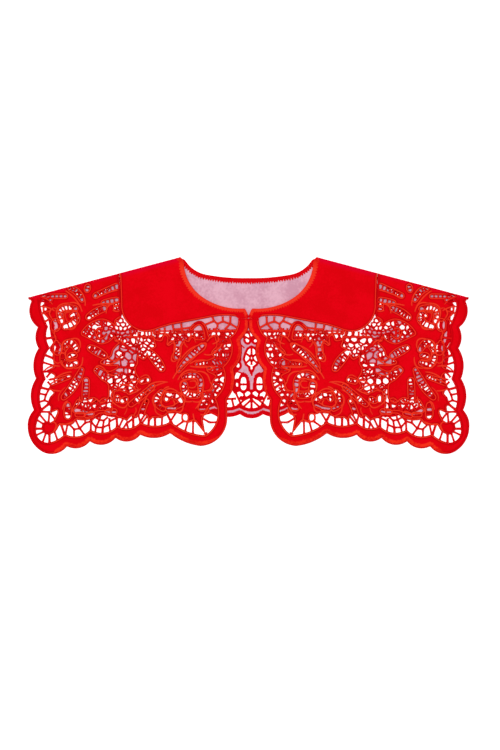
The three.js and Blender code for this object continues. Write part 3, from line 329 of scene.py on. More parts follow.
# Satin lines on the sprays. Columns: start, middle and end, each out and up, the width, and how deep
# its red is
FRONT_VEINS: Table = [
    (190.5, 141, 190, 153, 178.5, 156.7, 1.7), (178.5, 156.7, 170.5, 156, 166, 148, 1.7),
    (184, 139, 187, 147, 178.5, 149.7, 1.6), (178.5, 149.7, 171, 148, 171, 140, 1.6),
    (171, 140, 174.5, 131.5, 183, 131.7, 1.7), (182.2, 141.5, 182.5, 146.5, 177.5, 147.4, 1.3, 0.3),
    (182.2, 141.5, 179.5, 138, 175.5, 139.5, 1.3, 0.3), (196.5, 142, 198.5, 147.5, 194.5, 152, 1.6),
    (194.5, 152, 190, 149.5, 188.5, 144, 1.4, 0.2), (196.5, 142, 192.5, 138.5, 188, 141.5, 1.4, 0.2),
    (207.5, 153.5, 200.5, 152.4, 193.5, 149, 1.6), (207.5, 163, 201.5, 161, 195.5, 155.5, 1.4, 0.3),
    (182.5, 169, 174.5, 162.5, 167, 152.5, 1.7), (169.5, 170.5, 164.2, 163, 163, 154, 1.6),
    (192.5, 121, 193.2, 129, 187.5, 131.4, 1.4, 0.2), (185, 110, 185, 117.5, 177.5, 120.8, 1.7),
    (177.5, 120.8, 169.5, 120.2, 168.2, 112, 1.7), (182.5, 108, 182.8, 113, 176.5, 114, 1.3, 0.2),
    (186.5, 100, 183, 92.5, 174.5, 92, 1.7), (174.5, 92, 167.5, 94, 165.5, 103, 1.6),
    (182.5, 108, 180.5, 100.5, 171.5, 100.7, 1.6), (195.5, 103.5, 192.5, 108.5, 186.5, 107, 1.4, 0.2),
    (195.5, 102, 191.5, 97, 187.5, 98.5, 1.4, 0.2), (204, 89, 197.5, 93.5, 188.5, 93.7, 1.6),
    (192.5, 82, 184.5, 86.5, 176.5, 88, 1.6), (198.5, 75.5, 191.5, 79.5, 182.5, 82.5, 1.6),
    (199.5, 71.5, 193.5, 69.5, 187.5, 69.2, 1.6), (189.5, 59, 188.5, 66.5, 182.5, 73, 1.4, 0.4),
    (176.5, 48.5, 170.5, 55.5, 168.5, 63.5, 1.6), (185.5, 50.5, 183.7, 56.5, 180.2, 59, 1.6),
    (196.5, 38.5, 192, 35.5, 194.5, 29, 1.4), (189.5, 35.5, 182.5, 35.8, 175.5, 38.5, 1.6),
    (162.5, 61, 157, 57.5, 151.5, 61.5, 1.4), (151.5, 61.5, 146.5, 57.5, 141, 61, 1.4),
    (134.5, 70.5, 137, 61.5, 131.5, 54.7, 1.7), (131.5, 54.7, 124, 52.5, 120.2, 58.5, 1.6),
    (131, 68.5, 126.5, 71.5, 121.5, 68.5, 1.4, 0.2), (128.5, 75.5, 119.5, 74.5, 111.5, 69.5, 1.7),
    (119.5, 67.5, 113.5, 67.7, 107.5, 71.5, 1.6), (120, 75, 115, 79.5, 107.5, 77.5, 1.6),
    (155.5, 154.5, 146.5, 156, 135.5, 156.5, 1.6), (142, 146.5, 140.5, 153, 135, 156, 1.6),
    (135.5, 149.5, 131.5, 148.5, 128.3, 149.5, 1.4), (152.5, 162.5, 141.5, 166.5, 131.5, 170.5, 1.6),
    (133.5, 118.7, 128.5, 119.5, 124, 115.5, 1.6), (147.5, 96.5, 137.5, 96, 127.5, 102, 1.6),
    (140.5, 103, 133.5, 99.5, 127.5, 106, 1.4, 0.2), (154, 90.5, 149, 94.2, 142.5, 89.5, 1.6),
    (142.5, 89.5, 135.5, 84.5, 126.5, 88.5, 1.6), (85.5, 122.5, 82, 126.2, 78.3, 123, 1.6),
    (80.7, 115, 77.5, 118.5, 73.3, 119.4, 1.6), (75, 119, 72.9, 112.5, 76, 105, 1.6),
    (76, 105, 76.5, 99.5, 72.5, 99, 1.6), (66, 118.5, 68.5, 111, 67.3, 103, 1.6),
    (64.3, 119, 63, 115, 60.5, 112.7, 1.4, 0.2), (59.5, 118, 58, 123.5, 54.5, 124.5, 1.4),
    (52.9, 126.5, 53.9, 122, 52.5, 117.5, 1.4, 0.3), (66.5, 102, 58.5, 110.5, 48, 115.4, 1.7),
    (48, 115.4, 42.5, 116.4, 44.2, 110.2, 1.7), (75.5, 81.2, 65.5, 94, 44.2, 110, 1.8),
    (71.3, 91, 70.5, 97.5, 66.5, 102, 1.4, 0.3), (58.5, 96.2, 51.5, 99.4, 42.5, 99.8, 1.6),
    (58.5, 94, 47.5, 92.7, 33.5, 94, 1.7), (70.5, 80, 62.5, 89, 51.5, 88.6, 1.7),
    (51.5, 88.6, 42.5, 86.5, 38.7, 78.5, 1.7), (38.7, 78.5, 36, 71.5, 41.7, 69, 1.6),
    (45.2, 75.5, 46.1, 70, 41.7, 69, 1.6), (67.2, 69, 67.7, 77.5, 61, 80, 1.7),
    (61, 80, 52, 81.2, 50.9, 74, 1.7), (50.9, 74, 50.2, 67.5, 55.5, 67.6, 1.6),
    (59.5, 73, 56, 72.2, 52.7, 73.7, 1.4), (52.7, 73.7, 52.9, 78.4, 58.5, 78.6, 1.4),
    (59.5, 73, 60.1, 68.7, 55.5, 67.6, 1.4), (67.2, 69, 65, 60, 56, 58.7, 1.7),
    (56, 58.7, 47.5, 59, 45.2, 66.5, 1.6), (108, 82.2, 102.5, 85, 98.5, 82.4, 1.4, 0.2),
    (109.5, 56, 101.5, 69, 81.5, 78.2, 1.7), (100, 74.4, 91.5, 78, 80.5, 77.8, 1.6),
    (103.5, 56, 101, 64.5, 93, 70.5, 1.6), (84.7, 70.7, 81.7, 72.7, 79.2, 73, 1.7),
    (93, 52, 95.5, 62, 88.5, 68.4, 1.6, 0.3), (85.5, 67.6, 78.5, 71.4, 70.5, 68, 1.7),
    (70.5, 68, 63.7, 62.5, 65.2, 55.5, 1.7), (65.2, 55.5, 67, 49, 73, 48.6, 1.6),
    (86.3, 61, 86.1, 54.2, 78.5, 53.8, 1.6), (78.5, 53.8, 73.9, 55.6, 75.5, 60.2, 1.6),
    (86.3, 61, 85.7, 67.2, 79.7, 68.4, 1.4), (92.5, 56, 92.3, 48, 85, 44, 1.6, 0.2),
    (114.5, 45, 112.2, 49, 112.7, 52.5, 1.4, 0.2), (124, 45.5, 122, 49, 121.2, 52.5, 1.4, 0.4),
    (55.3, 46.5, 54.5, 42, 53.3, 38, 1.6), (62.5, 38.5, 58.5, 38.2, 54.3, 41.5, 1.4),
    (41.5, 118.5, 36, 124, 31.2, 124.2, 1.6), (31.2, 124.2, 30.3, 119, 36.3, 116, 1.6),
    (44.5, 105.8, 37.5, 105.4, 31.5, 109.5, 1.6), (35.5, 107.6, 29.5, 111.6, 26.2, 116.6, 1.6),
    (42, 89.6, 37, 91.4, 32.5, 94, 1.6), (52.9, 51.4, 49.7, 55.5, 48.1, 60, 1.6),
    (47.9, 45.6, 42.2, 46.2, 38.9, 51.2, 1.7),
]

# Sizes of the making, in squares unless their names say otherwise
FOLD_RADIUS = 2.6 / 1.2  # to the middle of the cloth
FRONT_CLEARANCE = 1.6 / 1.2
SETTLE_LENGTH = 65.0 / 1.2
LEAN_START = 4.0  # below the fold, where the back begins to lean
ARC_STEP = 1.2  # longest straight stretch of an arc
LEAST_BULGE = 0.2  # of an arc, and of the width of a stroke
STROKE_REACH = 6.0  # round a stroke within which its depth is worked out
SEAM_LAP = 0.3  # by which the lace's outline runs past the yoke's at the fold
EDGE_CLEAR = 0.04  # share of a cell's side that the edge keeps from its ends
OPEN_LEAST = 0.2  # depth in the open ground from which a net has threads
RUNG_LAP = 0.4  # by which a thread runs into the cloth beside its slit
RUNG_START = 0.6  # of the way between two threads, before the first
RUNG_SPARE = 0.2  # of that way more than the threads take up, over the whole slit
NET_ROW = 0.87  # height of a row of a net's cells, as a share of their width
NET_CHANCE = 0.32  # of a cell by which its middle may move
MIRRORED: Row = (-1.0, 0.0, 1.0, 0.0)  # out scale, out shift, up scale, up shift
FAR = 1.0e6
FAR_MARK = 12.0  # a distance at which an edge no longer shows
UNMARKED = 6.0  # squares from a seam at which the cloth's edge is marked as elsewhere
NEAR_HEM = (2.0, 3.0)  # squares from the hem over which the tone of its stitching ends
WAVE_RISE = (2.0, 40.0)  # squares beyond the fold over which the waves set in
WAVES = ((9.0, 17.0, 0.0), (-21.0, 11.0, 1.3), (16.0, np.inf, 2.1))  # lengths out and up, and start
PLAIN_TONE = 2.0  # of stitching in the colour of the cloth
NET_SEED_FRONT, NET_SEED_BACK, TOOTH_SEED = 3, 31, 11
BLOCK = 4000  # places that are measured at a time
TINY = 1.0e-12


def srgb(red: int, green: int, blue: int) -> tuple[float, float, float, float]:
    """Turn a display colour into the linear colour that the shaders take, by the sRGB curve.

    Args:
        red: Its red, of 0 to 255, like the other two.
        green: Its green.
        blue: Its blue.

    Returns:
        Linear red, green and blue, and an alpha of one.
    """
    levels = np.array([red, green, blue]) / 255.0
    linear = np.where(levels <= 0.04045, levels / 12.92, ((levels + 0.055) / 1.055) ** 2.4)
    return (float(linear[0]), float(linear[1]), float(linear[2]), 1.0)


class ClothSide(Enum):
    """The two sides of the cloth, by the material slot that each takes on a cloth piece."""

    RIGHT = 0
    WRONG = 1


class Hand(Enum):
    """The half of the collar: the sign of X on it."""

    LEFT = -1
    RIGHT = 1


def smoothstep(values: Array, low: float, high: float) -> Array:
    """Rise smoothly from 0 at low to 1 at high."""
    share = np.clip((values - low) / (high - low), 0.0, 1.0)
    return share * share * (3.0 - 2.0 * share)


def filled(rows: Table, columns: int) -> Array:
    """Rows as an array, with the noughts that they leave out at their ends."""
    return np.array([(*row, *[0.0] * (columns - len(row))) for row in rows])


def unit(ways: Array) -> Array:
    """Ways at a length of 1."""
    return ways / np.maximum(np.hypot(ways[:, 0], ways[:, 1]), TINY)[:, None]


def leftward(ways: Array) -> Array:
    """Unit vectors to the left of some ways."""
    ways = unit(ways)
    return np.column_stack([-ways[:, 1], ways[:, 0]])


def run_along(chain: Array) -> Array:
    """How far along a chain each of its points lies."""
    return np.concatenate([[0.0], np.cumsum(np.hypot(*np.diff(chain, axis=0).T))])


def arc_chain(rows: Table, closed: bool = False) -> Array:
    """Turn rows of out, up and bulge into points.

    A row's bulge is the rise of the round arc that leads to the next row: with chord L and rise b the
    radius is L^2 / 8b + b / 2, and the arc is set off the chord to the right of its way.

    Args:
        rows: Columns out, up and bulge.
        closed: Whether the last row leads on to the first.

    Returns:
        Points along the chain, (n, 2).
    """
    points: list[Array] = []
    table = filled(rows + rows[:1] if closed else rows, 3)
    for (x0, y0, bulge), (x1, y1, _) in zip(table[:-1], table[1:]):
        start, way = np.array([x0, y0]), np.array([x1 - x0, y1 - y0])
        length = float(np.hypot(*way))
        if abs(bulge) < LEAST_BULGE:
            points.append(start[None])
            continue
        rise = abs(bulge)
        radius = length**2 / (8.0 * rise) + rise / 2.0
        share = np.linspace(0.0, 1.0, max(3, int(length / ARC_STEP)), endpoint=False)
        chord = (share - 0.5) * length
        height = np.sign(bulge) * (np.sqrt(radius**2 - chord**2) - (radius - rise))
        right = np.array([way[1], -way[0]]) / length
        points.append(start + share[:, None] * way + height[:, None] * right)
    points.append(table[-1:, :2])
    return np.concatenate(points)


def placed(rows: Table, place: Row, pairs: int) -> Table:
    """Scale and shift the leading coordinate pairs of each row, and scale the columns after them.

    Args:
        rows: Rows of a table.
        place: Out scale, out shift, up scale, up shift.
        pairs: How many leading pairs are coordinates.

    Returns:
        The rows in their new place.
    """
    out_scale, out_shift, up_scale, up_shift = place
    moved: Table = []
    for row in rows:
        values = np.array(row, dtype=float)
        values[0 : 2 * pairs : 2] = values[0 : 2 * pairs : 2] * out_scale + out_shift
        values[1 : 2 * pairs : 2] = values[1 : 2 * pairs : 2] * up_scale + up_shift
        values[2 * pairs : 2 * pairs + 3] *= np.sqrt(abs(out_scale * up_scale))
        moved.append(tuple(values))
    return moved


def mirror_rows(rows: Table, pairs: int) -> Table:
    """Add to the rows the mirror images of those that lie off the centre line."""
    return rows + placed([row for row in rows if any(row[0 : 2 * pairs : 2])], MIRRORED, pairs)


def blocks_of(points: Array) -> list[Array]:
    """Points in blocks that are measured one at a time."""
    return np.array_split(points, max(1, len(points) // BLOCK))


def nearest(points: Array, chain: Array) -> tuple[Array, Array]:
    """The nearest place on each straight stretch of a chain.

    Args:
        points: (n, 2) places.
        chain: (m, 2) corners of the chain.

    Returns:
        Its share of the way along the stretch and its distance, (n, m - 1) each.
    """
    way = np.diff(chain, axis=0)
    offset = points[:, None] - chain[None, :-1]
    share = np.clip((offset * way).sum(axis=2) / np.maximum((way**2).sum(axis=1), TINY), 0.0, 1.0)
    apart = offset - share[..., None] * way
    return share, np.hypot(apart[..., 0], apart[..., 1])


def chain_distance(points: Array, chain: Array) -> Array:
    """Distance from points to an open chain: the least over its straight stretches."""
    return np.concatenate([nearest(block, chain)[1].min(axis=1) for block in blocks_of(points)])


def outline_distance(points: Array, outline: Array) -> Array:
    """Distance from points to a closed outline, positive inside it.

    A point is inside where a level line to its right crosses the outline an odd number of times.

    Args:
        points: (n, 2) places.
        outline: (m, 2) corners.

    Returns:
        The signed distance.
    """
    closed = np.concatenate([outline, outline[:1]])
    way = np.diff(closed, axis=0)
    rise = np.where(np.abs(way[:, 1]) < TINY, TINY, way[:, 1])
    signs: list[Array] = []
    for block in blocks_of(points):
        offset = block[:, None] - outline[None]
        straddles = (offset[..., 1] < 0.0) != (offset[..., 1] < way[:, 1])
        crossing = straddles & (offset[..., 0] < offset[..., 1] * way[:, 0] / rise)
        signs.append(np.where(crossing.sum(axis=1) % 2 == 1, 1.0, -1.0))
    return np.concatenate(signs) * chain_distance(points, closed)


def stroke_route(row: Row, steps: int = 14) -> tuple[Array, Array]:
    """Route and half widths of a tapered stroke through a start, a middle and an end.

    Args:
        row: Start, middle and end, then the width at each.
        steps: Stretches of the route.

    Returns:
        The points of a parabola through the three places, and half the width there.
    """
    share = np.linspace(0.0, 1.0, steps + 1)
    weights = [(1 - share) * (1 - 2 * share), 4 * share * (1 - share), share * (2 * share - 1)]
    weights = np.stack(weights, axis=1)
    places = np.array(row[:6]).reshape(3, 2)
    return weights @ places, np.maximum(weights @ np.array(row[6:9]), LEAST_BULGE) / 2.0


def strokes_distance(points: Array, rows: Table) -> Array:
    """Depth of points inside the nearest of several tapered strokes, negative outside them all.

    Along each stretch the depth is the half width there less the distance from its middle line.

    Args:
        points: (n, 2) places.
        rows: Rows of strokes.

    Returns:
        The depth at each place.
    """
    depth = np.full(len(points), -FAR)
    for row in rows:
        route, half = stroke_route(row)
        reach = half.max() + STROKE_REACH
        near = np.all((points > route.min(axis=0) - reach) & (points < route.max(axis=0) + reach), axis=1)
        share, apart = nearest(points[near], route)
        inside = half[:-1] + share * np.diff(half) - apart
        depth[near] = np.maximum(depth[near], inside.max(axis=1))
    return depth


def shapes_depth(points: Array, depth: Array, shapes: list[Array]) -> Array:
    """Depth of points inside the nearest of several outlines, or a depth that is given already."""
    for shape in shapes:
        depth = np.maximum(depth, outline_distance(points, shape))
    return depth


def rung_ends(rows: Table) -> Array:
    """Ends of the threads that cross slits, evenly spaced along each and square to it.

    Args:
        rows: Rows of slits, with the number of threads in the last column.

    Returns:
        (n, 2, 2) starts and ends.
    """
    found: list[Array] = []
    for row in filled(rows, 10):
        route, half = stroke_route(row)
        count = int(row[9])
        share = (np.arange(count) + RUNG_START) / (count + RUNG_SPARE) * (len(route) - 1)
        cell = np.minimum(share.astype(int), len(route) - 2)
        rest = (share - cell)[:, None]
        middle = route[cell] * (1 - rest) + route[cell + 1] * rest
        across = leftward(route[cell + 1] - route[cell]) * (half[cell][:, None] + RUNG_LAP)
        found.append(np.stack([middle - across, middle + across], axis=1))
    return np.concatenate(found)


def net_ends(zone: Row, seed: int) -> Array:
    """Ends of the threads of an irregular net over a place.

    The middles of a slanted lattice of cells are moved a little by chance, and threads join the middles
    of neighbouring triangles of that lattice, which makes six-sided cells of uneven size.

    Args:
        zone: Lowest out and up, highest out and up, and the size of a cell.
        seed: Start of the chance numbers.

    Returns:
        (n, 2, 2) starts and ends.
    """
    low, high, cell = np.array(zone[:2]), np.array(zone[2:4]), zone[4]
    chance = np.random.default_rng(seed)
    across, up = ((high - low) / np.array([cell, NET_ROW * cell])).astype(int) + 4
    i, j = np.meshgrid(np.arange(across + up // 2 + 2), np.arange(up), indexing="ij")
    middles = np.stack([(i - (up // 2 + 1) + 0.5 * j) * cell, (j - 1) * NET_ROW * cell], axis=-1) + low
    middles = middles + chance.uniform(-NET_CHANCE, NET_CHANCE, middles.shape) * cell
    upward = (middles[:-1, :-1] + middles[1:, :-1] + middles[:-1, 1:]) / 3.0
    downward = (middles[1:, :-1] + middles[1:, 1:] + middles[:-1, 1:]) / 3.0
    pairs = [(upward, downward), (upward[1:], downward[:-1]), (upward[:, 1:], downward[:, :-1])]
    ends = np.concatenate([np.stack([a, b], axis=2).reshape(-1, 2, 2) for a, b in pairs])
    centre = ends.mean(axis=1)
    return ends[np.all((centre > low) & (centre < high), axis=1)]


@dataclass(frozen=True)
class ShoulderFold:
    """The fold of one half, in squares, with the half mirrored to lie at positive out."""

    cloth: float
    radius: float = FOLD_RADIUS

    @property
    def along(self) -> Array:
        """Unit vector from the outermost point of the fold to the neck."""
        way = np.array(FOLD_NECK) - np.array(FOLD_TIP)
        return way / np.hypot(*way)

    @property
    def off(self) -> Array:
        """Unit vector square to the fold, away from the cloth."""
        along = self.along
        return np.array([along[1], -along[0]])

    @property
    def reach(self) -> float:
        """Distance from the fold's axis to its outermost surface."""
        return self.radius + self.cloth / 2.0

    @property
    def arc(self) -> float:
        """Length of the cloth's middle round the fold."""
        return float(np.pi * self.radius)

    @property
    def axis(self) -> Array:
        """A point on the axis that the cloth turns round."""
        return np.array(FOLD_TIP) - self.off * self.reach

    def height(self, points: Array) -> Array:
        """Height of points over the axis, seen from above."""
        return (points - self.axis) @ self.off

    def from_crest(self, points: Array) -> Array:
        """Distance of points from the middle of the round."""
        return np.abs(self.height(points) - self.arc / 2.0)

    def rolled(self, points: Array) -> Array:
        """Stretch what shows on the round of the fold to its length along the cloth.

        Args:
            points: (n, 2) places as they show from above.

        Returns:
            Their places along the cloth.
        """
        height = self.height(points)
        stretch = self.arc / 2.0 / self.reach - 1.0
        return points + np.maximum(height, 0.0)[:, None] * stretch * self.off

    def opened(self, points: Array) -> Array:
        """Turn a place on the front's plane over to its place in the flat cut beyond the fold."""
        height = self.height(points)
        return points + (self.arc - 2.0 * height)[:, None] * self.off

    def at(self, place: Row, height: float) -> Array:
        """A point level with a place of the fold, at a height over the axis."""
        run = (np.array(place[:2]) - self.axis) @ self.along
        return (self.axis + self.along * run + self.off * height)[None]

    def folded(self, points: Array, depth: Array, lift: Array) -> Array:
        """Fold the flat cut: flat as far as the axis, round half a circle, then back over the cloth.

        Beyond the fold the cloth comes down evenly until it has settled on the layer under it.

        Args:
            points: (n, 2) places in the flat cut.
            depth: Height in the cloth's thickness, from its right side.
            lift: How far each place stands off where it would lie, along the cloth's upward side.

        Returns:
            (n, 3) places in squares.
        """
        height = self.height(points)
        angle = np.clip(height / self.radius, 0.0, np.pi)
        beyond = np.maximum(height - self.arc, 0.0)
        settled = 2.0 * self.radius - self.cloth - FRONT_CLEARANCE
        radius = self.reach - depth
        reach = np.where(height < 0.0, height, np.where(height < self.arc, radius * np.sin(angle), -beyond))
        level = self.reach - radius * np.cos(angle) - settled * np.minimum(beyond / SETTLE_LENGTH, 1.0)
        plan = points + (reach - height)[:, None] * self.off
        return np.column_stack([plan, level + lift])


# Corners 0 to 3 go round a cell of the lattice, and 4 to 7 are the places where the edge cuts its sides
CELL_SHAPES: dict[int, list[list[int]]] = {
    1: [[0, 4, 7]], 2: [[1, 5, 4]], 3: [[0, 1, 5, 7]], 4: [[2, 6, 5]], 5: [[0, 4, 7], [2, 6, 5]],
    6: [[1, 2, 6, 4]], 7: [[0, 1, 2, 6, 7]], 8: [[3, 7, 6]], 9: [[0, 4, 6, 3]],
    10: [[1, 5, 4], [3, 7, 6]], 11: [[0, 1, 5, 6, 3]], 12: [[2, 3, 7, 5]], 13: [[0, 4, 5, 2, 3]],
    14: [[1, 2, 3, 7, 4]], 15: [[0, 1, 2, 3]],
}


def cell_corners(grid: Array) -> list[Array]:
    """What a grid holds at the four corners of its cells, going round them."""
    return [grid[:-1, :-1], grid[1:, :-1], grid[1:, 1:], grid[:-1, 1:]]


def sides_of(shape: list[int]) -> list[tuple[int, int]]:
    """The stretches of a cell's shape that lie along the cloth's edge."""
    return [(a, b) for a, b in zip(shape, shape[1:] + shape[:1]) if a >= 4 and b >= 4]


@dataclass(frozen=True)
class Lattice:
    """An even lattice of places over part of the chart."""

    low: tuple[float, float]
    high: tuple[float, float]
    step: float

    @property
    def shape(self) -> tuple[int, int]:
        """How many places there are across and up."""
        across, up = (np.array(self.high) - np.array(self.low)) / self.step
        return int(across) + 1, int(up) + 1

    def points(self) -> Array:
        """All places, across first.

        Returns:
            (n, 2) places.
        """
        across, up = self.shape
        grid = np.stack(np.meshgrid(np.arange(across), np.arange(up), indexing="ij"), axis=-1)
        return (grid * self.step + np.array(self.low)).reshape(-1, 2)

    def read(self, values: Array, points: Array) -> Array:
        """Read a field at any places, from its four nearest lattice places.

        Args:
            values: The field at every place of the lattice.
            points: (n, 2) places.

        Returns:
            The field there.
        """
        across, up = self.shape
        grid = values.reshape(across, up)
        place = (points - np.array(self.low)) / self.step
        place = np.clip(place, 0.0, np.array([across - 1.001, up - 1.001]))
        cell = place.astype(int)
        i, j = cell[:, 0], cell[:, 1]
        s, t = (place - cell).T
        lower = grid[i, j] * (1 - s) + grid[i + 1, j] * s
        upper = grid[i, j + 1] * (1 - s) + grid[i + 1, j + 1] * s
        return lower * (1 - t) + upper * t

    def contour(self, values: Array) -> tuple[Array, list[Array], Array]:
        """Cover the region where a field is positive with faces, cut along its zero line.

        Each cell takes a shape by which of its corners are inside, and the edge cuts a side in
        proportion to the field at its two ends.

        Args:
            values: The field at every place.

        Returns:
            The places, the faces, and for each place on the edge the next one along it, or else -1.
        """
        across, up = self.shape
        grid = values.reshape(across, up)
        inside = grid > 0.0
        place = self.points().reshape(across, up, 2)
        count = int(inside.sum())
        corner = np.full((across, up), -1)
        corner[inside] = np.arange(count)
        points = [place[inside]]
        cut: list[Array] = []
        for shift in ((1, 0), (0, 1)):
            first = (slice(0, across - shift[0]), slice(0, up - shift[1]))
            here, there = grid[first], grid[shift[0] :, shift[1] :]
            crossed = (here > 0.0) != (there > 0.0)
            share = here[crossed] / (here[crossed] - there[crossed])
            share = np.clip(share, EDGE_CLEAR, 1.0 - EDGE_CLEAR)
            index = np.full(here.shape, -1)
            index[crossed] = count + np.arange(crossed.sum())
            count += int(crossed.sum())
            points.append(place[first][crossed] + share[:, None] * np.array(shift) * self.step)
            cut.append(index)
        level, upright = cut
        sides = [level[:, :-1], upright[1:, :], level[:, 1:], upright[:-1, :]]
        table = np.stack(cell_corners(corner) + sides, axis=-1)
        code = sum(bit.astype(int) << k for k, bit in enumerate(cell_corners(inside)))
        faces: list[Array] = []
        following = np.full(count, -1)
        for number, shapes in CELL_SHAPES.items():
            cells = table[code == number]
            for shape in shapes:
                faces.append(cells[:, shape])
                for a, b in sides_of(shape):
                    following[cells[:, a]] = cells[:, b]
        return np.concatenate(points), faces, following


def lattice_over(outline: Array, margin: float, step: float, mirrored: bool) -> tuple[Lattice, Array, Array]:
    """Lay a lattice over an outline and a margin round it.

    Args:
        outline: Corners of the outline.
        margin: The margin's width.
        step: The lattice's step.
        mirrored: Whether the outline is one half, and the lattice is to take in both.

    Returns:
        The lattice, its places on the drawn half, and the width and height that the cloth has.
    """
    low, high = outline.min(axis=0), outline.max(axis=0)
    if mirrored:
        low[0] = -high[0]
    lattice = Lattice(tuple(low - margin), tuple(high + margin), step)
    points = lattice.points()
    if mirrored:
        points[:, 0] = np.abs(points[:, 0])
    return lattice, points, high - low


def shell_volume(points: Array, faces: list[Array]) -> float:
    """The volume inside faces, negative where they point inwards: triple products over six.

    Args:
        points: (n, 3) places.
        faces: Rows of their corners.

    Returns:
        The volume.
    """
    total = 0.0
    for rows in faces:
        for k in range(1, rows.shape[1] - 1):
            a, b, c = points[rows[:, 0]], points[rows[:, k]], points[rows[:, k + 1]]
            total += float(np.einsum("ij,ij->", a, np.cross(b, c))) / 6.0
    return total


def wall_faces(index: Array, following: Array) -> Array:
    """Corners of the faces between rings of places and the rings that follow them."""
    beside = [np.roll(rings, -1, axis=-1) for rings in (index, following)]
    return np.stack([index, following, beside[1], beside[0]], axis=-1).reshape(-1, 4)


def wall_uv(here: Array, there: Array, sides: int) -> Array:
    """Places of the pattern for wall faces: the run along the cord, and the share of the way round it.

    Args:
        here: The run at each ring.
        there: The run at the ring that follows it.
        sides: Corners of a ring.

    Returns:
        (n, 4, 2) places.
    """
    low = np.tile(np.arange(sides) / sides, len(here))
    near, far = np.repeat(here, sides), np.repeat(there, sides)
    corners = [(near, low), (far, low), (far, low + 1.0 / sides), (near, low + 1.0 / sides)]
    return np.stack([np.column_stack(corner) for corner in corners], axis=1)


def tube_faces(tubes: int, rings: int, sides: int) -> Faces:
    """Walls and end caps of tubes whose places are counted round a ring, along a tube, then on.

    Args:
        tubes: Number of tubes.
        rings: Number of rings in each.
        sides: Number of places round a ring.

    Returns:
        The walls and the caps, each with the number of its finish.
    """
    index = np.arange(tubes * rings * sides).reshape(tubes, rings, sides)
    caps = np.concatenate([index[:, 0, ::-1], index[:, -1]])
    return [(wall_faces(index[:, :-1], index[:, 1:]), 0), (caps, 0)]


def round_angles(sides: int) -> Array:
    """The angles of the corners of a round."""
    return 2.0 * np.pi * np.arange(sides) / sides


def ring_places(place: Placer, middle: Array, across: Array, reach: Array, level: Array) -> Array:
    """Places of rings of corners about a path, each at its reach across it and at its level."""
    ring = middle[:, None] + across[:, None] * reach[..., None]
    return place(ring.reshape(-1, 2), level.ravel())


@dataclass
class MeshMaker:
    """Collects places, faces and attributes, and makes one mesh piece of them."""

    name: str
    square: float  # the size of a square of the chart in metres
    points: list[Array] = field(default_factory=list)
    faces: Faces = field(default_factory=list)
    corner_uv: list[Array] = field(default_factory=list)
    attributes: dict[str, list[Array]] = field(default_factory=dict)
    count: int = 0

    def add(self, points: Array, faces: Faces, attributes: Fields, corner_uv: Sequence[Array] = ()) -> None:
        """Add closed shells, turned to face outwards.

        Args:
            points: (n, 3) places in squares.
            faces: Rows of corners, each with the material slot of its faces.
            attributes: A value at each place for each name.
            corner_uv: For each entry of faces, (rows, corners, 2) places of the pattern.
        """
        turned = -1 if shell_volume(points, [rows for rows, _ in faces]) < 0.0 else 1
        for rows, slot in faces:
            self.faces.append((rows[:, ::turned] + self.count, slot))
        self.corner_uv.extend(uv[:, ::turned] for uv in corner_uv)
        self.points.append(points)
        for key, values in attributes.items():
            self.attributes.setdefault(key, []).append(values)
        self.count += len(points)

    def add_tubes(self, points: Array, run: Array, tone: Array) -> None:
        """Add tubes with closed ends and a pattern along them.

        Args:
            points: Places round each ring, then from ring to ring, then from tube to tube.
            run: (tubes, rings) distances along each tube.
            tone: A value for each ring.
        """
        sides = len(points) // run.size
        faces = tube_faces(*run.shape, sides)
        ends = np.zeros((len(faces[1][0]), sides, 2))
        uv = wall_uv(run[:, :-1].ravel(), run[:, 1:].ravel(), sides)
        self.add(points, faces, {"tone": np.repeat(tone, sides)}, [uv, ends])

    def make(self, materials: list[Material]) -> Piece:
        """Make the piece.

        Args:
            materials: The materials of its slots.

        Returns:
            The new object.
        """
        places = np.concatenate(self.points) * self.square
        places[:, 1] -= CHART_MIDDLE * self.square
        mesh = bpy.data.meshes.new(self.name)
        sizes = np.concatenate([np.full(len(rows), rows.shape[1]) for rows, _ in self.faces])
        corners = np.concatenate([rows.ravel() for rows, _ in self.faces])
        mesh.vertices.add(len(places))
        mesh.vertices.foreach_set("co", places.astype(np.float32).ravel())
        mesh.loops.add(len(corners))
        mesh.loops.foreach_set("vertex_index", corners.astype(np.int32))
        mesh.polygons.add(len(sizes))
        starts = np.concatenate([[0], np.cumsum(sizes)[:-1]])
        mesh.polygons.foreach_set("loop_start", starts.astype(np.int32))
        slots = np.concatenate([np.full(len(rows), slot) for rows, slot in self.faces])
        mesh.polygons.foreach_set("material_index", slots.astype(np.int32))
        mesh.polygons.foreach_set("use_smooth", np.ones(len(sizes), dtype=bool))
        if self.corner_uv:
            layer = mesh.uv_layers.new(name="UVMap")
            uv = np.concatenate([rows.reshape(-1, 2) for rows in self.corner_uv])
            layer.data.foreach_set("uv", uv.astype(np.float32).ravel())
        for key, values in self.attributes.items():
            layer = mesh.attributes.new(key, "FLOAT", "POINT")
            layer.data.foreach_set("value", np.concatenate(values).astype(np.float32))
        mesh.update(calc_edges=True)
        mesh.validate()
        for material in materials:
            mesh.materials.append(material)
        piece = bpy.data.objects.new(self.name, mesh)
        bpy.context.scene.collection.objects.link(piece)
        return piece


def settled(piece: Piece, node: str) -> Piece:
    """Let a piece move with the collar and stand for its solid.

    Args:
        piece: The piece.
        node: The solid's name.

    Returns:
        The piece.
    """
    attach(piece, "root")
    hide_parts(node)
    return piece


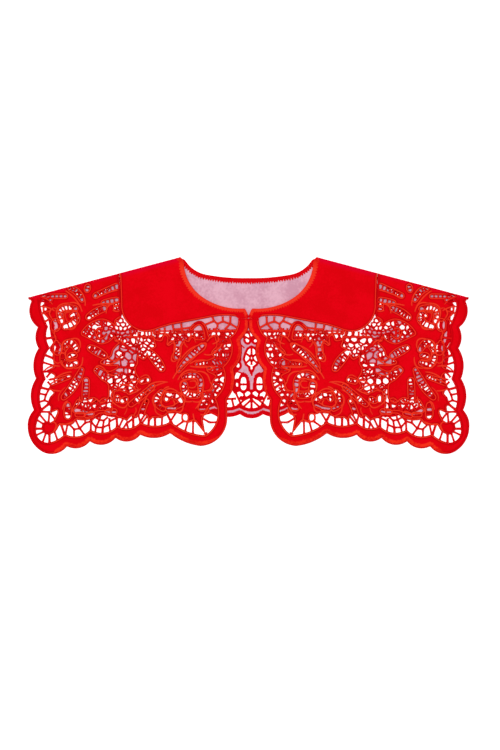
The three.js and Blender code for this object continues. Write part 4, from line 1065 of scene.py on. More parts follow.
@dataclass(frozen=True)
class Trim:
    """Sizes of the stitching and of the bars, in squares."""

    cord_width: float = 1.4
    cord_height: float = 0.14  # over each face of the cloth
    cord_inset: float = 1.25  # of its middle from the edge
    cord_sides: int = 7
    bar: float = 1.04  # half the thickness of a bar
    stout: float = 1.28
    net: float = 0.8
    rung: float = 0.78
    bar_sides: int = 6
    bar_steps: int = 5  # stretches along a bar, and along a thread
    thread_steps: int = 2
    bar_stand: float = 0.14  # the most that a bar stands off each face of the cloth
    bar_flat: float = 0.9  # share of its thickness that a bar has upwards
    bar_swell: float = 0.35  # share by which it is thicker at its ends
    bar_search: float = 3.6  # squares past its end in which it may find cloth
    bar_probes: int = 13
    bar_depth: float = 0.9  # in the cloth, at which its end is held
    vein_height: float = 0.16
    vein_sides: int = 6
    vein_tip: float = 0.75  # share of its width that a vein has at its tips
    vein_rise: float = 2.0  # steps from a tip at which it has its height
    vein_least: float = 0.25  # share of its height that it has at its tips
    pane_tone: float = 0.35  # of the bars close under the yoke
    pane_foot: float = 122.0  # squares up over which they lie
    bar_tone: float = 0.9
    sink: float = 0.2  # share of the thickness by which stitching pulls the cloth down
    sink_place: float = 2.5  # squares in from the edge
    sink_width: float = 0.9


@dataclass(frozen=True)
class Finishes:
    """The materials of the collar."""

    cloth: list[Material]  # right side, then wrong side
    satin: Material
    steel: Material


@dataclass
class Collar:
    """What all parts of the collar share: its finishes, its scale and the thickness of its cloth."""

    finishes: Finishes
    square: float
    cloth: float
    lift: float = 0.8  # of its soft waves

    @property
    def fold(self) -> ShoulderFold:
        """The fold of either half."""
        return ShoulderFold(self.cloth)

    @classmethod
    def from_frame(cls, finishes: Finishes) -> "Collar":
        """Take the scale from the width of the solids and the thickness from the back.

        Args:
            finishes: The materials.

        Returns:
            The collar.
        """
        low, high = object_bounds()
        square = (high.x - low.x) / CHART_WIDTH
        back_low, back_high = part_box("lace_back")
        return cls(finishes, square, (back_high.z - back_low.z) / square)

    def lifted(self, points: Array, cut: Array) -> Array:
        """How far the soft waves of cloth laid down by hand lift it beyond the fold.

        They are slanted sines, added up and never below nought, and they set in smoothly.

        Args:
            points: (n, 2) places that the waves are worked out for.
            cut: The same places in the flat cut.

        Returns:
            The lift of each.
        """
        rise = sum(np.sin((points / np.array([out, up])).sum(axis=1) + start) for out, up, start in WAVES)
        beyond = self.fold.height(cut) - self.fold.arc
        return self.lift * (0.5 + rise / (2.0 * len(WAVES))) * smoothstep(beyond, *WAVE_RISE)

    def fold_tuck(self, height: float) -> list[Array]:
        """The edge of a lace part along the fold, from its tip to just past the yoke."""
        seam = (YOKE_AT_FOLD[0] + SEAM_LAP, YOKE_AT_FOLD[1])
        return [self.fold.at(FOLD_TIP, height), self.fold.at(seam, height)]


@dataclass
class ClothLayer:
    """A layer of cloth cut where a field is positive, with its satin stitched edges and its bars."""

    node: str
    collar: Collar
    lattice: Lattice
    values: Array
    place: Placer  # takes chart places and heights from the underside, gives places in space
    trim: Trim = field(default_factory=Trim)

    def __post_init__(self) -> None:
        """Cut the cloth and start the pieces."""
        self.points, self.faces, self.following = self.lattice.contour(self.values)
        self.rim = np.flatnonzero(self.following >= 0)
        names = [f"{self.node}_{part}" for part in ("cloth", "stitching", "bars")]
        self.pieces = [MeshMaker(name, self.collar.square) for name in names]
        self.thickness = self.collar.cloth

    def dress(self, upper: ClothSide, marks: Fields, tone: Array) -> None:
        """Add the cloth with its marks, and the stitching along its edges.

        Args:
            upper: The side of the cloth that its upper face shows.
            marks: Fields over the lattice, of distances that the cloth's finish reads.
            tone: A field over the lattice that shades the stitching from light to dark.
        """
        edge = np.maximum(self.values, 0.0)
        fields = {"edge": edge, "hem": FAR_MARK, "rim": FAR_MARK, "fold": FAR_MARK} | marks
        shape = self.values.shape
        spread = {key: np.minimum(np.broadcast_to(mark, shape), FAR_MARK) for key, mark in fields.items()}
        self.add_cloth(upper, spread)
        self.add_cord(tone)

    def add_cloth(self, upper: ClothSide, attributes: Fields) -> None:
        """Add the two faces of the cloth and the wall between them.

        The upper face sinks beside the edge, where the stitching pulls it down, by a bell curve of the
        distance from it.

        Args:
            upper: The side of the cloth that its upper face shows.
            attributes: Fields over the lattice, read at every place.
        """
        points, trim, count = self.points, self.trim, len(self.points)
        depth = np.maximum(self.lattice.read(self.values, points), 0.0)
        sink = trim.sink * self.thickness * np.exp(-(((depth - trim.sink_place) / trim.sink_width) ** 2))
        over = self.place(points, self.thickness - sink)
        under = self.place(points, np.zeros(count))
        lower = ClothSide.WRONG if upper is ClothSide.RIGHT else ClothSide.RIGHT
        rim, following = self.rim, self.following[self.rim]
        walls = np.column_stack([following, rim, rim + count, following + count])
        faces = [(rows, upper.value) for rows in self.faces]
        faces += [(rows[:, ::-1] + count, lower.value) for rows in self.faces]
        faces.append((walls, upper.value))
        read = {key: np.tile(self.lattice.read(values, points), 2) for key, values in attributes.items()}
        self.pieces[0].add(np.concatenate([over, under]), faces, read)

    def rim_loops(self, smoothings: int = 3) -> tuple[Array, Array, Array, Array]:
        """The edge of the cloth as closed loops.

        A loop starts at its lowest-numbered place. That place and the run to each other one are found
        by steps back that double in length.

        Args:
            smoothings: How many times each place moves towards its neighbours.

        Returns:
            The places, the unit vectors into the cloth, the number of the next place, and the run.
        """
        order = np.arange(len(self.rim))
        number = np.full(len(self.points), -1)
        number[self.rim] = order
        following = number[self.following[self.rim]]
        back = np.empty_like(following)
        back[following] = order
        points = self.points[self.rim]
        for _ in range(smoothings):
            points = 0.5 * points + 0.25 * (points[following] + points[back])
        first, step = order, back
        rounds = int(np.ceil(np.log2(len(order)))) + 1
        for _ in range(rounds):
            first = np.minimum(first, first[step])
            step = step[step]
        starts = first == order
        step = np.where(starts, order, back)
        run = np.where(starts, 0.0, np.hypot(*(points - points[back]).T))
        for _ in range(rounds):
            run = run + run[step]
            step = step[step]
        inward = leftward(points[following[following]] - points[back[back]])
        return points, inward, following, run

    def add_cord(self, tone: Array) -> None:
        """Add the satin stitched cord along every edge of the cloth.

        A flattened round is carried along the edge, set in from it, and stands off both faces of the
        cloth by the same height.

        Args:
            tone: A field over the lattice that shades the cord from light to dark.
        """
        points, inward, following, run = self.rim_loops()
        trim, count, sides = self.trim, len(points), self.trim.cord_sides
        angle = 2.0 * np.pi * (np.arange(sides) + 0.5) / sides
        reach = np.broadcast_to(trim.cord_inset + trim.cord_width / 2.0 * np.cos(angle), (count, sides))
        middle = self.thickness / 2.0
        level = np.broadcast_to(middle + (middle + trim.cord_height) * np.sin(angle), (count, sides))
        places = ring_places(self.place, points, inward, reach, level)
        index = np.arange(count * sides).reshape(count, sides)
        length = np.hypot(*(points[following] - points).T)
        shade = np.repeat(self.lattice.read(tone, points), sides)
        walls = wall_faces(index, index[following])
        self.pieces[1].add(places, [(walls, 0)], {"tone": shade}, [wall_uv(run, run + length, sides)])

    def add_veins(self, rows: Table) -> None:
        """Add satin stitched lines that lie on the upper face of the cloth.

        Each is a flattened round along a tapered stroke, its lower half in the cloth.

        Args:
            rows: Start, middle and end, then the width and the tone.
        """
        trim = self.trim
        angle = round_angles(trim.vein_sides)
        for row in filled(rows, 8):
            tip = trim.vein_tip * row[6]
            route, half = stroke_route((*row[:6], tip, row[6], tip))
            from_end = np.minimum(np.arange(len(route)), np.arange(len(route))[::-1])
            taper = np.clip(from_end / trim.vein_rise, trim.vein_least, 1.0)
            across = leftward(np.gradient(route, axis=0))
            level = self.thickness + (trim.vein_height * taper)[:, None] * np.sin(angle)
            places = ring_places(self.place, route, across, half[:, None] * np.cos(angle), level)
            self.pieces[1].add_tubes(places, run_along(route)[None], np.full(len(route), row[7]))

    def add_bars(self, ends: Array, radius: float | Array, tone: float | Array, steps: int) -> None:
        """Add straight bars as thin rounds, each a little thicker at its ends.

        An end that meets cloth within a few squares is carried into it. Any other is a crossing of bars.

        Args:
            ends: (n, 2, 2) starts and ends.
            radius: Half the thickness of each, or of all.
            tone: How deep the red of each is, or of all.
            steps: Stretches along a bar.
        """
        trim, count, rings = self.trim, len(ends), steps + 1
        ends = ends.copy()
        length = np.hypot(*(ends[:, 1] - ends[:, 0]).T)
        way, across = unit(ends[:, 1] - ends[:, 0]), leftward(ends[:, 1] - ends[:, 0])
        probes = np.linspace(0.0, trim.bar_search, trim.bar_probes)
        for k, sign in ((0, -1.0), (1, 1.0)):
            line = ends[:, k, None] + sign * way[:, None] * probes[None, :, None]
            depth = self.lattice.read(self.values, line.reshape(-1, 2)).reshape(count, -1)
            found = depth > trim.bar_depth
            extra = np.where(found.any(axis=1), probes[found.argmax(axis=1)], 0.0)
            ends[:, k] += sign * way * extra[:, None]
        share = np.linspace(0.0, 1.0, rings)
        middle = ends[:, 0, None] + share[None, :, None] * (ends[:, 1] - ends[:, 0])[:, None]
        swell = 1.0 + trim.bar_swell * (2.0 * share - 1.0)[None] ** 4
        thick = (np.broadcast_to(radius, count)[:, None] * swell).reshape(-1, 1)
        angle = round_angles(trim.bar_sides)
        stand = np.minimum(trim.bar_flat * thick, self.thickness / 2.0 + trim.bar_stand)
        level = self.thickness / 2.0 + stand * np.sin(angle)
        across = np.repeat(across, rings, axis=0)
        places = ring_places(self.place, middle.reshape(-1, 2), across, thick * np.cos(angle), level)
        tones = np.repeat(np.broadcast_to(tone, count), rings)
        self.pieces[2].add_tubes(places, share[None] * length[:, None], tones)

    def tie(self, bars: Table, slits: Table, nets: Table, ground: Array, seed: int) -> None:
        """Add the bars, the threads across the slits and the nets.

        Args:
            bars: Rows of bars.
            slits: Rows of slits.
            nets: Rows of places that hold a net.
            ground: A field over the lattice, positive in the open ground.
            seed: Start of the chance numbers of the nets.
        """
        trim, table = self.trim, filled(bars, 5)
        radius = np.where(table[:, 4] > 0, trim.stout, trim.bar)
        tone = np.where(table[:, [1, 3]].min(axis=1) > trim.pane_foot, trim.pane_tone, trim.bar_tone)
        self.add_bars(table[:, :4].reshape(-1, 2, 2), radius, tone, trim.bar_steps)
        self.add_bars(rung_ends(slits), trim.rung, trim.bar_tone, trim.thread_steps)
        for number, zone in enumerate(nets):
            ends = net_ends(zone, number + seed)
            ends = ends[self.lattice.read(ground, ends.mean(axis=1)) > OPEN_LEAST]
            self.add_bars(ends, trim.net, trim.bar_tone, trim.thread_steps)

    def finish(self) -> Pieces:
        """Returns:
            The pieces.
        """
        finishes, square = self.collar.finishes, self.collar.square
        slots = [finishes.cloth, [finishes.satin], [finishes.satin]]
        made = [piece.make(own) for piece, own in zip(self.pieces, slots) if piece.count]
        return [settled(piece, self.node) for piece in made]


@dataclass
class FrontLace:
    """One front: a scalloped border and two leaf sprays, carried by bars."""

    collar: Collar
    hand: Hand
    step: float = 0.8
    margin: float = 1.6
    side_out: Row = (192.0, 200.0)  # squares out over which the stitching turns deep red
    hem_tone: float = 0.3  # of the stitching along the front opening
    foot_tone: float = 0.55  # and along the scallops at the foot
    opening_out: Row = (26.0, 40.0)  # squares out and up over which the one turns into the other
    opening_up: Row = (60.0, 76.0)
    seam_reach: Row = (1.6, 2.8)  # squares from the yoke over which the stitching loses its plain colour
    corner_fade: float = 3.0  # squares by which the ragged stitches sink at the lower front corner
    corner_up: Row = (16.0, 28.0, 62.0, 76.0)  # squares up between which that corner lies
    low: Row = (30.0, 50.0)  # squares out, or up, over which that corner and the foot end
    foot_widening: float = 0.2  # share by which the ragged stitches lie further in along the foot
    fold_sheen_narrowing: float = 1.6  # squares by which the fold's painted sheen is narrower than on the yoke

    def outline(self) -> Array:
        """The outline of the front on its own plane, as far as the round of the fold.

        Returns:
            (n, 2) places round it.
        """
        fold = self.collar.fold
        tip, seam = self.collar.fold_tuck(fold.arc - PIECE_GAP / 2.0)
        crest, base = fold.at(FOLD_TIP, fold.arc / 2.0), self.collar.fold_tuck(0.0)[1]
        edge, yoke = fold.rolled(arc_chain(FRONT_EDGE)), arc_chain(YOKE_FRONT)
        return np.concatenate([edge, crest, tip, seam, base, yoke])

    def marks(self, points: Array, hem: Array, side: Array) -> Fields:
        """What the cloth's finish reads at each place.

        Args:
            points: Places of the lattice.
            hem: Their distance from the hem.
            side: How far each counts as being at the side.

        Returns:
            The distances for the ragged stitches by the hem and for the painted sheen by the fold.
        """
        out, up = points.T
        corner = np.minimum(smoothstep(up, *self.corner_up[:2]), 1.0 - smoothstep(up, *self.corner_up[2:]))
        corner *= 1.0 - smoothstep(out, *self.low)
        foot = 1.0 - smoothstep(up, *self.low)
        return {
            "hem": hem * (1.0 - self.foot_widening * foot) + FAR_MARK * side + self.corner_fade * corner,
            "fold": self.collar.fold.from_crest(points) + self.fold_sheen_narrowing,
        }

    def tones(self, points: Array, hem: Array, side: Array) -> Array:
        """How deep the red of the stitching is: bright by the hem, deep at the side, plain by the yoke.

        Args:
            points: Places of the lattice.
            hem: Their distance from the hem.
            side: How far each counts as being at the side.

        Returns:
            The tone at each.
        """
        out, up = points.T
        seam = chain_distance(points, arc_chain([YOKE_AT_FOLD + (0,)] + YOKE_FRONT + PLACKET[:1]))
        opening = (1.0 - smoothstep(out, *self.opening_out)) * smoothstep(up, *self.opening_up)
        near_hem = 1.0 - smoothstep(hem, *NEAR_HEM)
        tone = np.maximum(near_hem * (self.foot_tone + (self.hem_tone - self.foot_tone) * opening), side)
        return np.maximum(tone, PLAIN_TONE * (1.0 - smoothstep(seam, *self.seam_reach)))

    def build(self) -> Pieces:
        """Make the cloth, the stitching and the bars of the front.

        Returns:
            The pieces.
        """
        collar, fold, outline = self.collar, self.collar.fold, self.outline()
        lattice, points, span = lattice_over(outline, self.margin, self.step, mirrored=False)
        ground = np.concatenate([arc_chain(FRONT_INNER), np.array(GROUND_TOP), arc_chain(YOKE_FRONT)])
        shapes = [fold.rolled(arc_chain(OUTER_SPRAY, closed=True)), arc_chain(INNER_SPRAY, closed=True)]
        sprays = shapes_depth(points, strokes_distance(points, FRONT_STROKES), shapes)
        opened = np.minimum(outline_distance(points, ground), -sprays)
        slits = OUTER_SLITS + INNER_SLITS + GARLAND_SLITS
        cuts = np.maximum(opened, strokes_distance(points, slits))
        values = np.minimum(outline_distance(points, outline), -cuts)
        hem = chain_distance(points, fold.rolled(arc_chain(FRONT_EDGE)))
        side = smoothstep(points[:, 0], *self.side_out)
        layer = ClothLayer(f"lace_front_{self.hand.name.lower()}", collar, lattice, values, self.lay)
        placket = chain_distance(points, arc_chain(PLACKET_SEAM))
        # The edge mark places the painted shade beside the stitched edges, and keeps it off the placket seam.
        marks = {"edge": np.maximum(values, UNMARKED - placket)} | self.marks(points, hem, side)
        layer.dress(ClothSide.RIGHT, marks, self.tones(points, hem, side))
        layer.add_veins(FRONT_VEINS)
        layer.tie(FRONT_BARS, slits, FRONT_NETS, opened, NET_SEED_FRONT)
        return layer.finish()

    def lay(self, points: Array, height: Array) -> Array:
        """Lay places of the front's plane down, or round its fold where they pass it.

        Args:
            points: (n, 2) places on the chart.
            height: Heights over the wrong side of the cloth.

        Returns:
            (n, 3) places.
        """
        cut = self.collar.fold.opened(points)
        depth, lift = self.collar.cloth - height, self.collar.lifted(points, cut)
        return self.collar.fold.folded(cut, depth, lift) * np.array([self.hand.value, 1.0, 1.0])


@dataclass
class BackLace:
    """The back under the fronts, wrong side up, with the sprays and a lens, rings and hooks between."""

    collar: Collar
    node: str = "lace_back"
    step: float = 0.95
    margin: float = 2.0
    trim: Trim = Trim(cord_sides=6, pane_tone=0.9, stout=1.1)
    frame_slope: float = 1.45  # how much narrower the frames of the windows are than the rim of the ground
    rim_lap: float = 0.3  # squares into the ground in which the rim still shows
    stroke_lap: float = 0.4  # squares round the strokes that are all stitched

    def lay(self, points: Array, height: Array) -> Array:
        """Lay places of the back down, which hangs a little to one side, more towards its hem.

        Args:
            points: (n, 2) places on the chart.
            height: Heights over the surface.

        Returns:
            (n, 3) places.
        """
        mirrored = np.column_stack([np.abs(points[:, 0]), points[:, 1]])
        share = smoothstep(-self.collar.fold.height(mirrored), LEAN_START, BACK_LEAN_DEPTH)
        return np.column_stack([points[:, 0] + BACK_LEAN * share, points[:, 1], height])

    def build(self) -> Pieces:
        """Make the cloth, the stitching and the bars of the back.

        Returns:
            The pieces.
        """
        collar = self.collar
        edge, border, yoke = (arc_chain(rows) for rows in (BACK_EDGE, BACK_INNER, YOKE_BACK))
        outline = np.concatenate([edge, *collar.fold_tuck(-PIECE_GAP / 2.0), yoke])
        lattice, points, span = lattice_over(outline, self.margin, self.step, mirrored=True)
        inner = outline_distance(points, np.concatenate([border, np.array(BACK_GROUND_TOP), yoke]))
        slits = placed(OUTER_SLITS, BACK_OUTER_PLACE, 3) + placed(INNER_SLITS, BACK_INNER_PLACE, 3)
        sprays = [placed(OUTER_SPRAY, BACK_OUTER_PLACE, 1), placed(INNER_SPRAY, BACK_INNER_PLACE, 1)]
        shapes = [arc_chain(rows, closed=True) for rows in (*sprays, BACK_MIDDLE, BACK_LEAF, BACK_PETAL)]
        strokes = strokes_distance(points, mirror_rows(BACK_STROKES, 3))
        opened = np.minimum(inner, -shapes_depth(points, strokes, shapes))
        windows = strokes_distance(points, mirror_rows(BACK_SLITS, 3))
        windows = shapes_depth(points, windows, [arc_chain(BACK_LENS)])
        cuts = np.maximum(strokes_distance(points, slits + BACK_GAPS), windows)
        values = np.minimum(outline_distance(points, outline), -np.maximum(opened, cuts))
        frame = np.where(windows < 0.0, -self.frame_slope * windows, 0.0)
        rim = np.where(inner < self.rim_lap, chain_distance(points, border), FAR_MARK)
        rim = np.where(strokes > -self.stroke_lap, 0.0, np.minimum(rim, frame))
        layer = ClothLayer(self.node, collar, lattice, values, self.lay, self.trim)
        marks = {"hem": chain_distance(points, edge), "rim": rim}
        layer.dress(ClothSide.WRONG, marks, np.ones(len(points)))
        nets = mirror_rows(BACK_NETS, 2)
        nets = [(min(a, c), b, max(a, c), d, cell) for a, b, c, d, cell in nets]
        layer.tie(mirror_rows(BACK_BARS, 2), mirror_rows(slits, 3), nets, opened, NET_SEED_BACK)
        return layer.finish()


@dataclass
class Yoke:
    """The plain yoke round the neck, folded over both shoulders."""

    collar: Collar
    node: str = "yoke"
    step: float = 1.05
    margin: float = 2.0
    hem_tone: float = 0.3
    plain_reach: Row = (2.6, 3.8)  # squares from seam and neck in which the stitching turns bright
    tip_round: float = 4.8  # of the corner between the neck and the fold, seen from above
    line_step: float = 1.5
    smoothings: int = 6
    past_middle: float = 30.0  # squares by which the outline runs past the centre line
    tuck: float = 0.35  # how far the cloth runs in under the band

    def neck_line(self, step: float) -> Array:
        """The neck line of one half in the flat cut, from the front opening to the middle of the back.

        Near the fold it is set back along the fold, so that the folded corner is round.

        Args:
            step: Distance between its points.

        Returns:
            Points of the line.
        """
        fold = self.collar.fold
        front = fold.opened(fold.rolled(arc_chain(NECK_FRONT)))
        ends = [fold.at(FOLD_NECK, height) for height in (fold.arc, 0.0)]
        chain = np.concatenate([front, *ends, arc_chain(NECK_BACK)])
        run = run_along(chain)
        even = np.linspace(0.0, run[-1], int(run[-1] / step) + 1)
        points = np.column_stack([np.interp(even, run, chain[:, k]) for k in range(2)])
        height = fold.height(points)
        beyond = np.maximum(np.maximum(-height, height - fold.arc), 0.0)
        turn = np.clip(height / fold.radius, 0.0, np.pi)
        drop = fold.reach * (1.0 - np.sin(turn)) + beyond
        short = np.maximum(self.tip_round - drop, 0.0)
        points -= fold.along * (self.tip_round - np.sqrt(self.tip_round**2 - short**2))[:, None]
        for _ in range(self.smoothings):
            points[1:-1] = 0.5 * points[1:-1] + 0.25 * (points[:-2] + points[2:])
        return points

    def inward(self, points: Array) -> Array:
        """Unit vectors from the neck line into the cloth, which lies below the middle of the back."""
        right = -leftward(np.gradient(points, axis=0))
        return right if right[-1, 1] < 0.0 else -right

    def outline(self) -> Array:
        """The outline of one half in the flat cut, carried across the centre line at the back.

        Returns:
            (n, 2) places round it.
        """
        fold = self.collar.fold
        neck = self.neck_line(self.line_step)
        neck = neck + self.inward(neck) * self.tuck
        neck = np.concatenate([neck, neck[-1:] - np.array([[self.past_middle, 0.0]])])
        base = fold.at(YOKE_AT_FOLD, 0.0)
        front = np.concatenate([base, arc_chain(YOKE_FRONT), arc_chain(PLACKET)])
        return np.concatenate([arc_chain(YOKE_BACK)[::-1], base, fold.opened(front), neck])

    def build(self) -> Pieces:
        """Make the cloth and the stitching of the yoke.

        Returns:
            The pieces.
        """
        collar, fold, outline = self.collar, self.collar.fold, self.outline()
        lattice, points, span = lattice_over(outline, self.margin, self.step, mirrored=True)
        values = outline_distance(points, outline)
        hem = chain_distance(points, fold.opened(arc_chain(PLACKET)))
        seam = chain_distance(points, fold.opened(arc_chain(PLACKET_SEAM)))
        plain = np.minimum(seam, chain_distance(points, self.neck_line(self.line_step)))
        tone = self.hem_tone * (1.0 - smoothstep(hem, *NEAR_HEM))
        tone = np.maximum(tone, PLAIN_TONE * (1.0 - smoothstep(plain, *self.plain_reach)))
        layer = ClothLayer(self.node, collar, lattice, values, self.lay)
        # The edge mark places the painted shade beside the stitched edges, kept off the seam and the neck;
        # the fold mark places the painted sheen on the curve of the fold.
        marks = {"edge": np.maximum(values, UNMARKED - plain), "hem": hem, "fold": fold.from_crest(points)}
        layer.dress(ClothSide.WRONG, marks, tone)
        return layer.finish()

    def lay(self, points: Array, height: Array) -> Array:
        """Fold places of the flat cut, whose right side lies down.

        Args:
            points: (n, 2) places in the flat cut.
            height: Heights over the right side of the cloth.

        Returns:
            (n, 3) places.
        """
        side = np.where(points[:, 0] < 0.0, -1.0, 1.0)
        mirrored = np.column_stack([points[:, 0] * side, points[:, 1]])
        places = self.collar.fold.folded(mirrored, height, self.collar.lifted(mirrored, mirrored))
        places[:, 0] *= side
        return places


@dataclass
class NeckBand:
    """The band of satin stitches that closes the neck edge."""

    yoke: Yoke
    node: str = "neck_edging"
    step: float = 0.5
    sides: int = 12
    rise: float = 0.42  # over the side of the cloth that shows
    squareness: float = 0.7  # power that squares off its section
    closing: float = 1.2  # squares over which its ends close
    least: float = 0.02
    tooth: float = 2.4  # from one tooth of its edge to the next
    tooth_drift: Row = (0.25, 9.0)  # how far the teeth drift, and over what length
    tooth_foot: float = 0.76  # share of the width between the teeth
    tooth_depth: float = 0.46
    tooth_chance: float = 0.1
    turn_place: Row = (0.5, 0.62)  # share of the way to the middle of the back over which its tone turns
    turn_tone: Row = (0.1, 1.5)
    turn_start: float = 0.3  # share of the fold's round at which it begins to change sides

    def build(self) -> Pieces:
        """Make the band.

        A flattened round is carried along the neck line. Its edge on the cloth has a small tooth for
        each group of stitches, uneven by chance but the same each time.

        Returns:
            The band as the one piece.
        """
        collar, fold = self.yoke.collar, self.yoke.collar.fold
        half = self.yoke.neck_line(self.step)
        line = np.concatenate([half, half[-2::-1] * np.array([-1.0, 1.0])])
        count = len(line)
        run = np.arange(count) * self.step
        place = np.minimum(np.arange(count), count - 1 - np.arange(count)) / (len(half) - 1)
        chance = np.random.default_rng(TOOTH_SEED)
        turns = run / self.tooth + self.tooth_drift[0] * np.sin(run / self.tooth_drift[1])
        teeth = self.tooth_depth * np.abs(np.sin(np.pi * turns))
        teeth = teeth + self.tooth_chance * chance.uniform(-1.0, 1.0, count)
        width = np.interp(place, *zip(*BAND_WIDTHS)) * (self.tooth_foot + teeth)
        closing = np.sqrt(np.clip(np.minimum(run, run[::-1]) / self.closing, self.least, 1.0))
        angle = round_angles(self.sides)
        squared = np.sign(np.cos(angle)) * np.abs(np.cos(angle)) ** self.squareness
        reach = (0.5 + 0.5 * squared)[None] * width[:, None]
        right = -leftward(np.gradient(line, axis=0))
        inward = right if self.yoke.inward(half)[0] @ right[0] > 0.0 else -right
        mirrored = np.column_stack([np.abs(line[:, 0]), line[:, 1]])
        over = smoothstep(fold.height(mirrored), self.turn_start * fold.arc, fold.arc)
        low, high = -self.rise * over, collar.cloth + self.rise * (1.0 - over)
        half_height = 0.5 * (high - low) * closing
        level = (0.5 * (low + high))[:, None] + half_height[:, None] * np.sin(angle)[None]
        maker = MeshMaker("neck_band", collar.square)
        places = ring_places(self.yoke.lay, line, inward, reach, level)
        maker.add_tubes(places, run[None], np.interp(place, self.turn_place, self.turn_tone))
        return [settled(maker.make([collar.finishes.satin]), self.node)]


@dataclass
class NeckClasp:
    """The small bar that closes the neck, hidden between the layers."""

    collar: Collar
    node: str = "neck_clasp"
    squareness: float = 0.35
    rings: int = 14
    sides: int = 28
    pole: float = 0.02  # angle at which the rings stop short of the ends

    def build(self) -> Pieces:
        """Make the bar as a rounded block.

        A superellipsoid: the cosines and sines of the two angles are raised to a small power.

        Returns:
            The bar as the one piece.
        """
        low, high = (np.array(corner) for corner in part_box(self.node))
        half, middle = (high - low) / 2.0, (high + low) / 2.0
        tilt = np.linspace(-np.pi / 2.0 + self.pole, np.pi / 2.0 - self.pole, self.rings)[:, None]
        turn, power = round_angles(self.sides)[None], self.squareness
        belt = np.abs(np.cos(tilt)) ** power
        shape = [np.sign(a) * np.abs(a) ** power * belt for a in (np.cos(turn), np.sin(turn))]
        upright = np.sign(np.sin(tilt)) * np.abs(np.sin(tilt)) ** power * np.ones_like(turn)
        points = np.stack([*shape, upright], axis=-1).reshape(-1, 3) * half + middle
        points[:, 1] += CHART_MIDDLE
        maker = MeshMaker("clasp_bar", 1.0)
        maker.add(points, tube_faces(1, self.rings, self.sides), {})
        return [settled(maker.make([self.collar.finishes.steel]), self.node)]


@dataclass
class NodeKit:
    """Adds nodes to a node tree and joins them."""

    tree: Tree

    def add(self, kind: str, inputs: Inputs | None = None, **settings: object) -> bpy.types.Node:
        """Add a node.

        Args:
            kind: Its kind.
            inputs: What goes to its inputs, by their names or numbers.
            settings: Its settings.

        Returns:
            The node.
        """
        node = self.tree.nodes.new(kind)
        for key, value in settings.items():
            setattr(node, key, value)
        for key, value in (inputs or {}).items():
            self.join(value, node.inputs[key])
        return node

    def join(self, value: object, socket: Socket) -> None:
        """Link a socket to an input, or set the input where the value is plain."""
        if isinstance(value, Socket):
            self.tree.links.new(value, socket)
        else:
            socket.default_value = value

    def maths(self, operation: str, *values: object) -> Socket:
        """The result of a sum on up to three values."""
        return self.add("ShaderNodeMath", dict(enumerate(values)), operation=operation).outputs[0]

    def ranged(self, *values: object) -> Socket:
        """Carry a value smoothly from one range to another, given by their lows and highs."""
        node = self.add("ShaderNodeMapRange", dict(enumerate(values)), interpolation_type="SMOOTHSTEP")
        return node.outputs[0]

    def mixed(self, share: object, first: object, second: object) -> Socket:
        """Blend two colours."""
        return self.add("ShaderNodeMix", {0: share, 6: first, 7: second}, data_type="RGBA").outputs[2]

    def noise(self, vector: object, scale: float, detail: float = 2.0) -> Socket:
        """A noise value over a vector."""
        inputs = {"Vector": vector, "Scale": scale, "Detail": detail}
        return self.add("ShaderNodeTexNoise", inputs).outputs["Fac"]

    def place(self, group: Tree, **values: object) -> bpy.types.Node:
        """Place a node group with its inputs."""
        return self.add("ShaderNodeGroup", values, node_tree=group)


def new_group(
    name: str, inputs: dict[str, str], outputs: list[str]
) -> tuple[NodeKit, bpy.types.NodeOutputs, bpy.types.NodeInputs]:
    """Start a shader node group.

    Args:
        name: The group's name.
        inputs: The kind of socket for each input.
        outputs: The names of its outputs, all plain values.

    Returns:
        A kit for its tree, its input sockets and its output sockets.
    """
    tree = bpy.data.node_groups.new(name, "ShaderNodeTree")
    for key, kind in inputs.items():
        tree.interface.new_socket(key, in_out="INPUT", socket_type=f"NodeSocket{kind}")
    for key in outputs:
        tree.interface.new_socket(key, in_out="OUTPUT", socket_type="NodeSocketFloat")
    kit = NodeKit(tree)
    return kit, kit.add("NodeGroupInput").outputs, kit.add("NodeGroupOutput").inputs


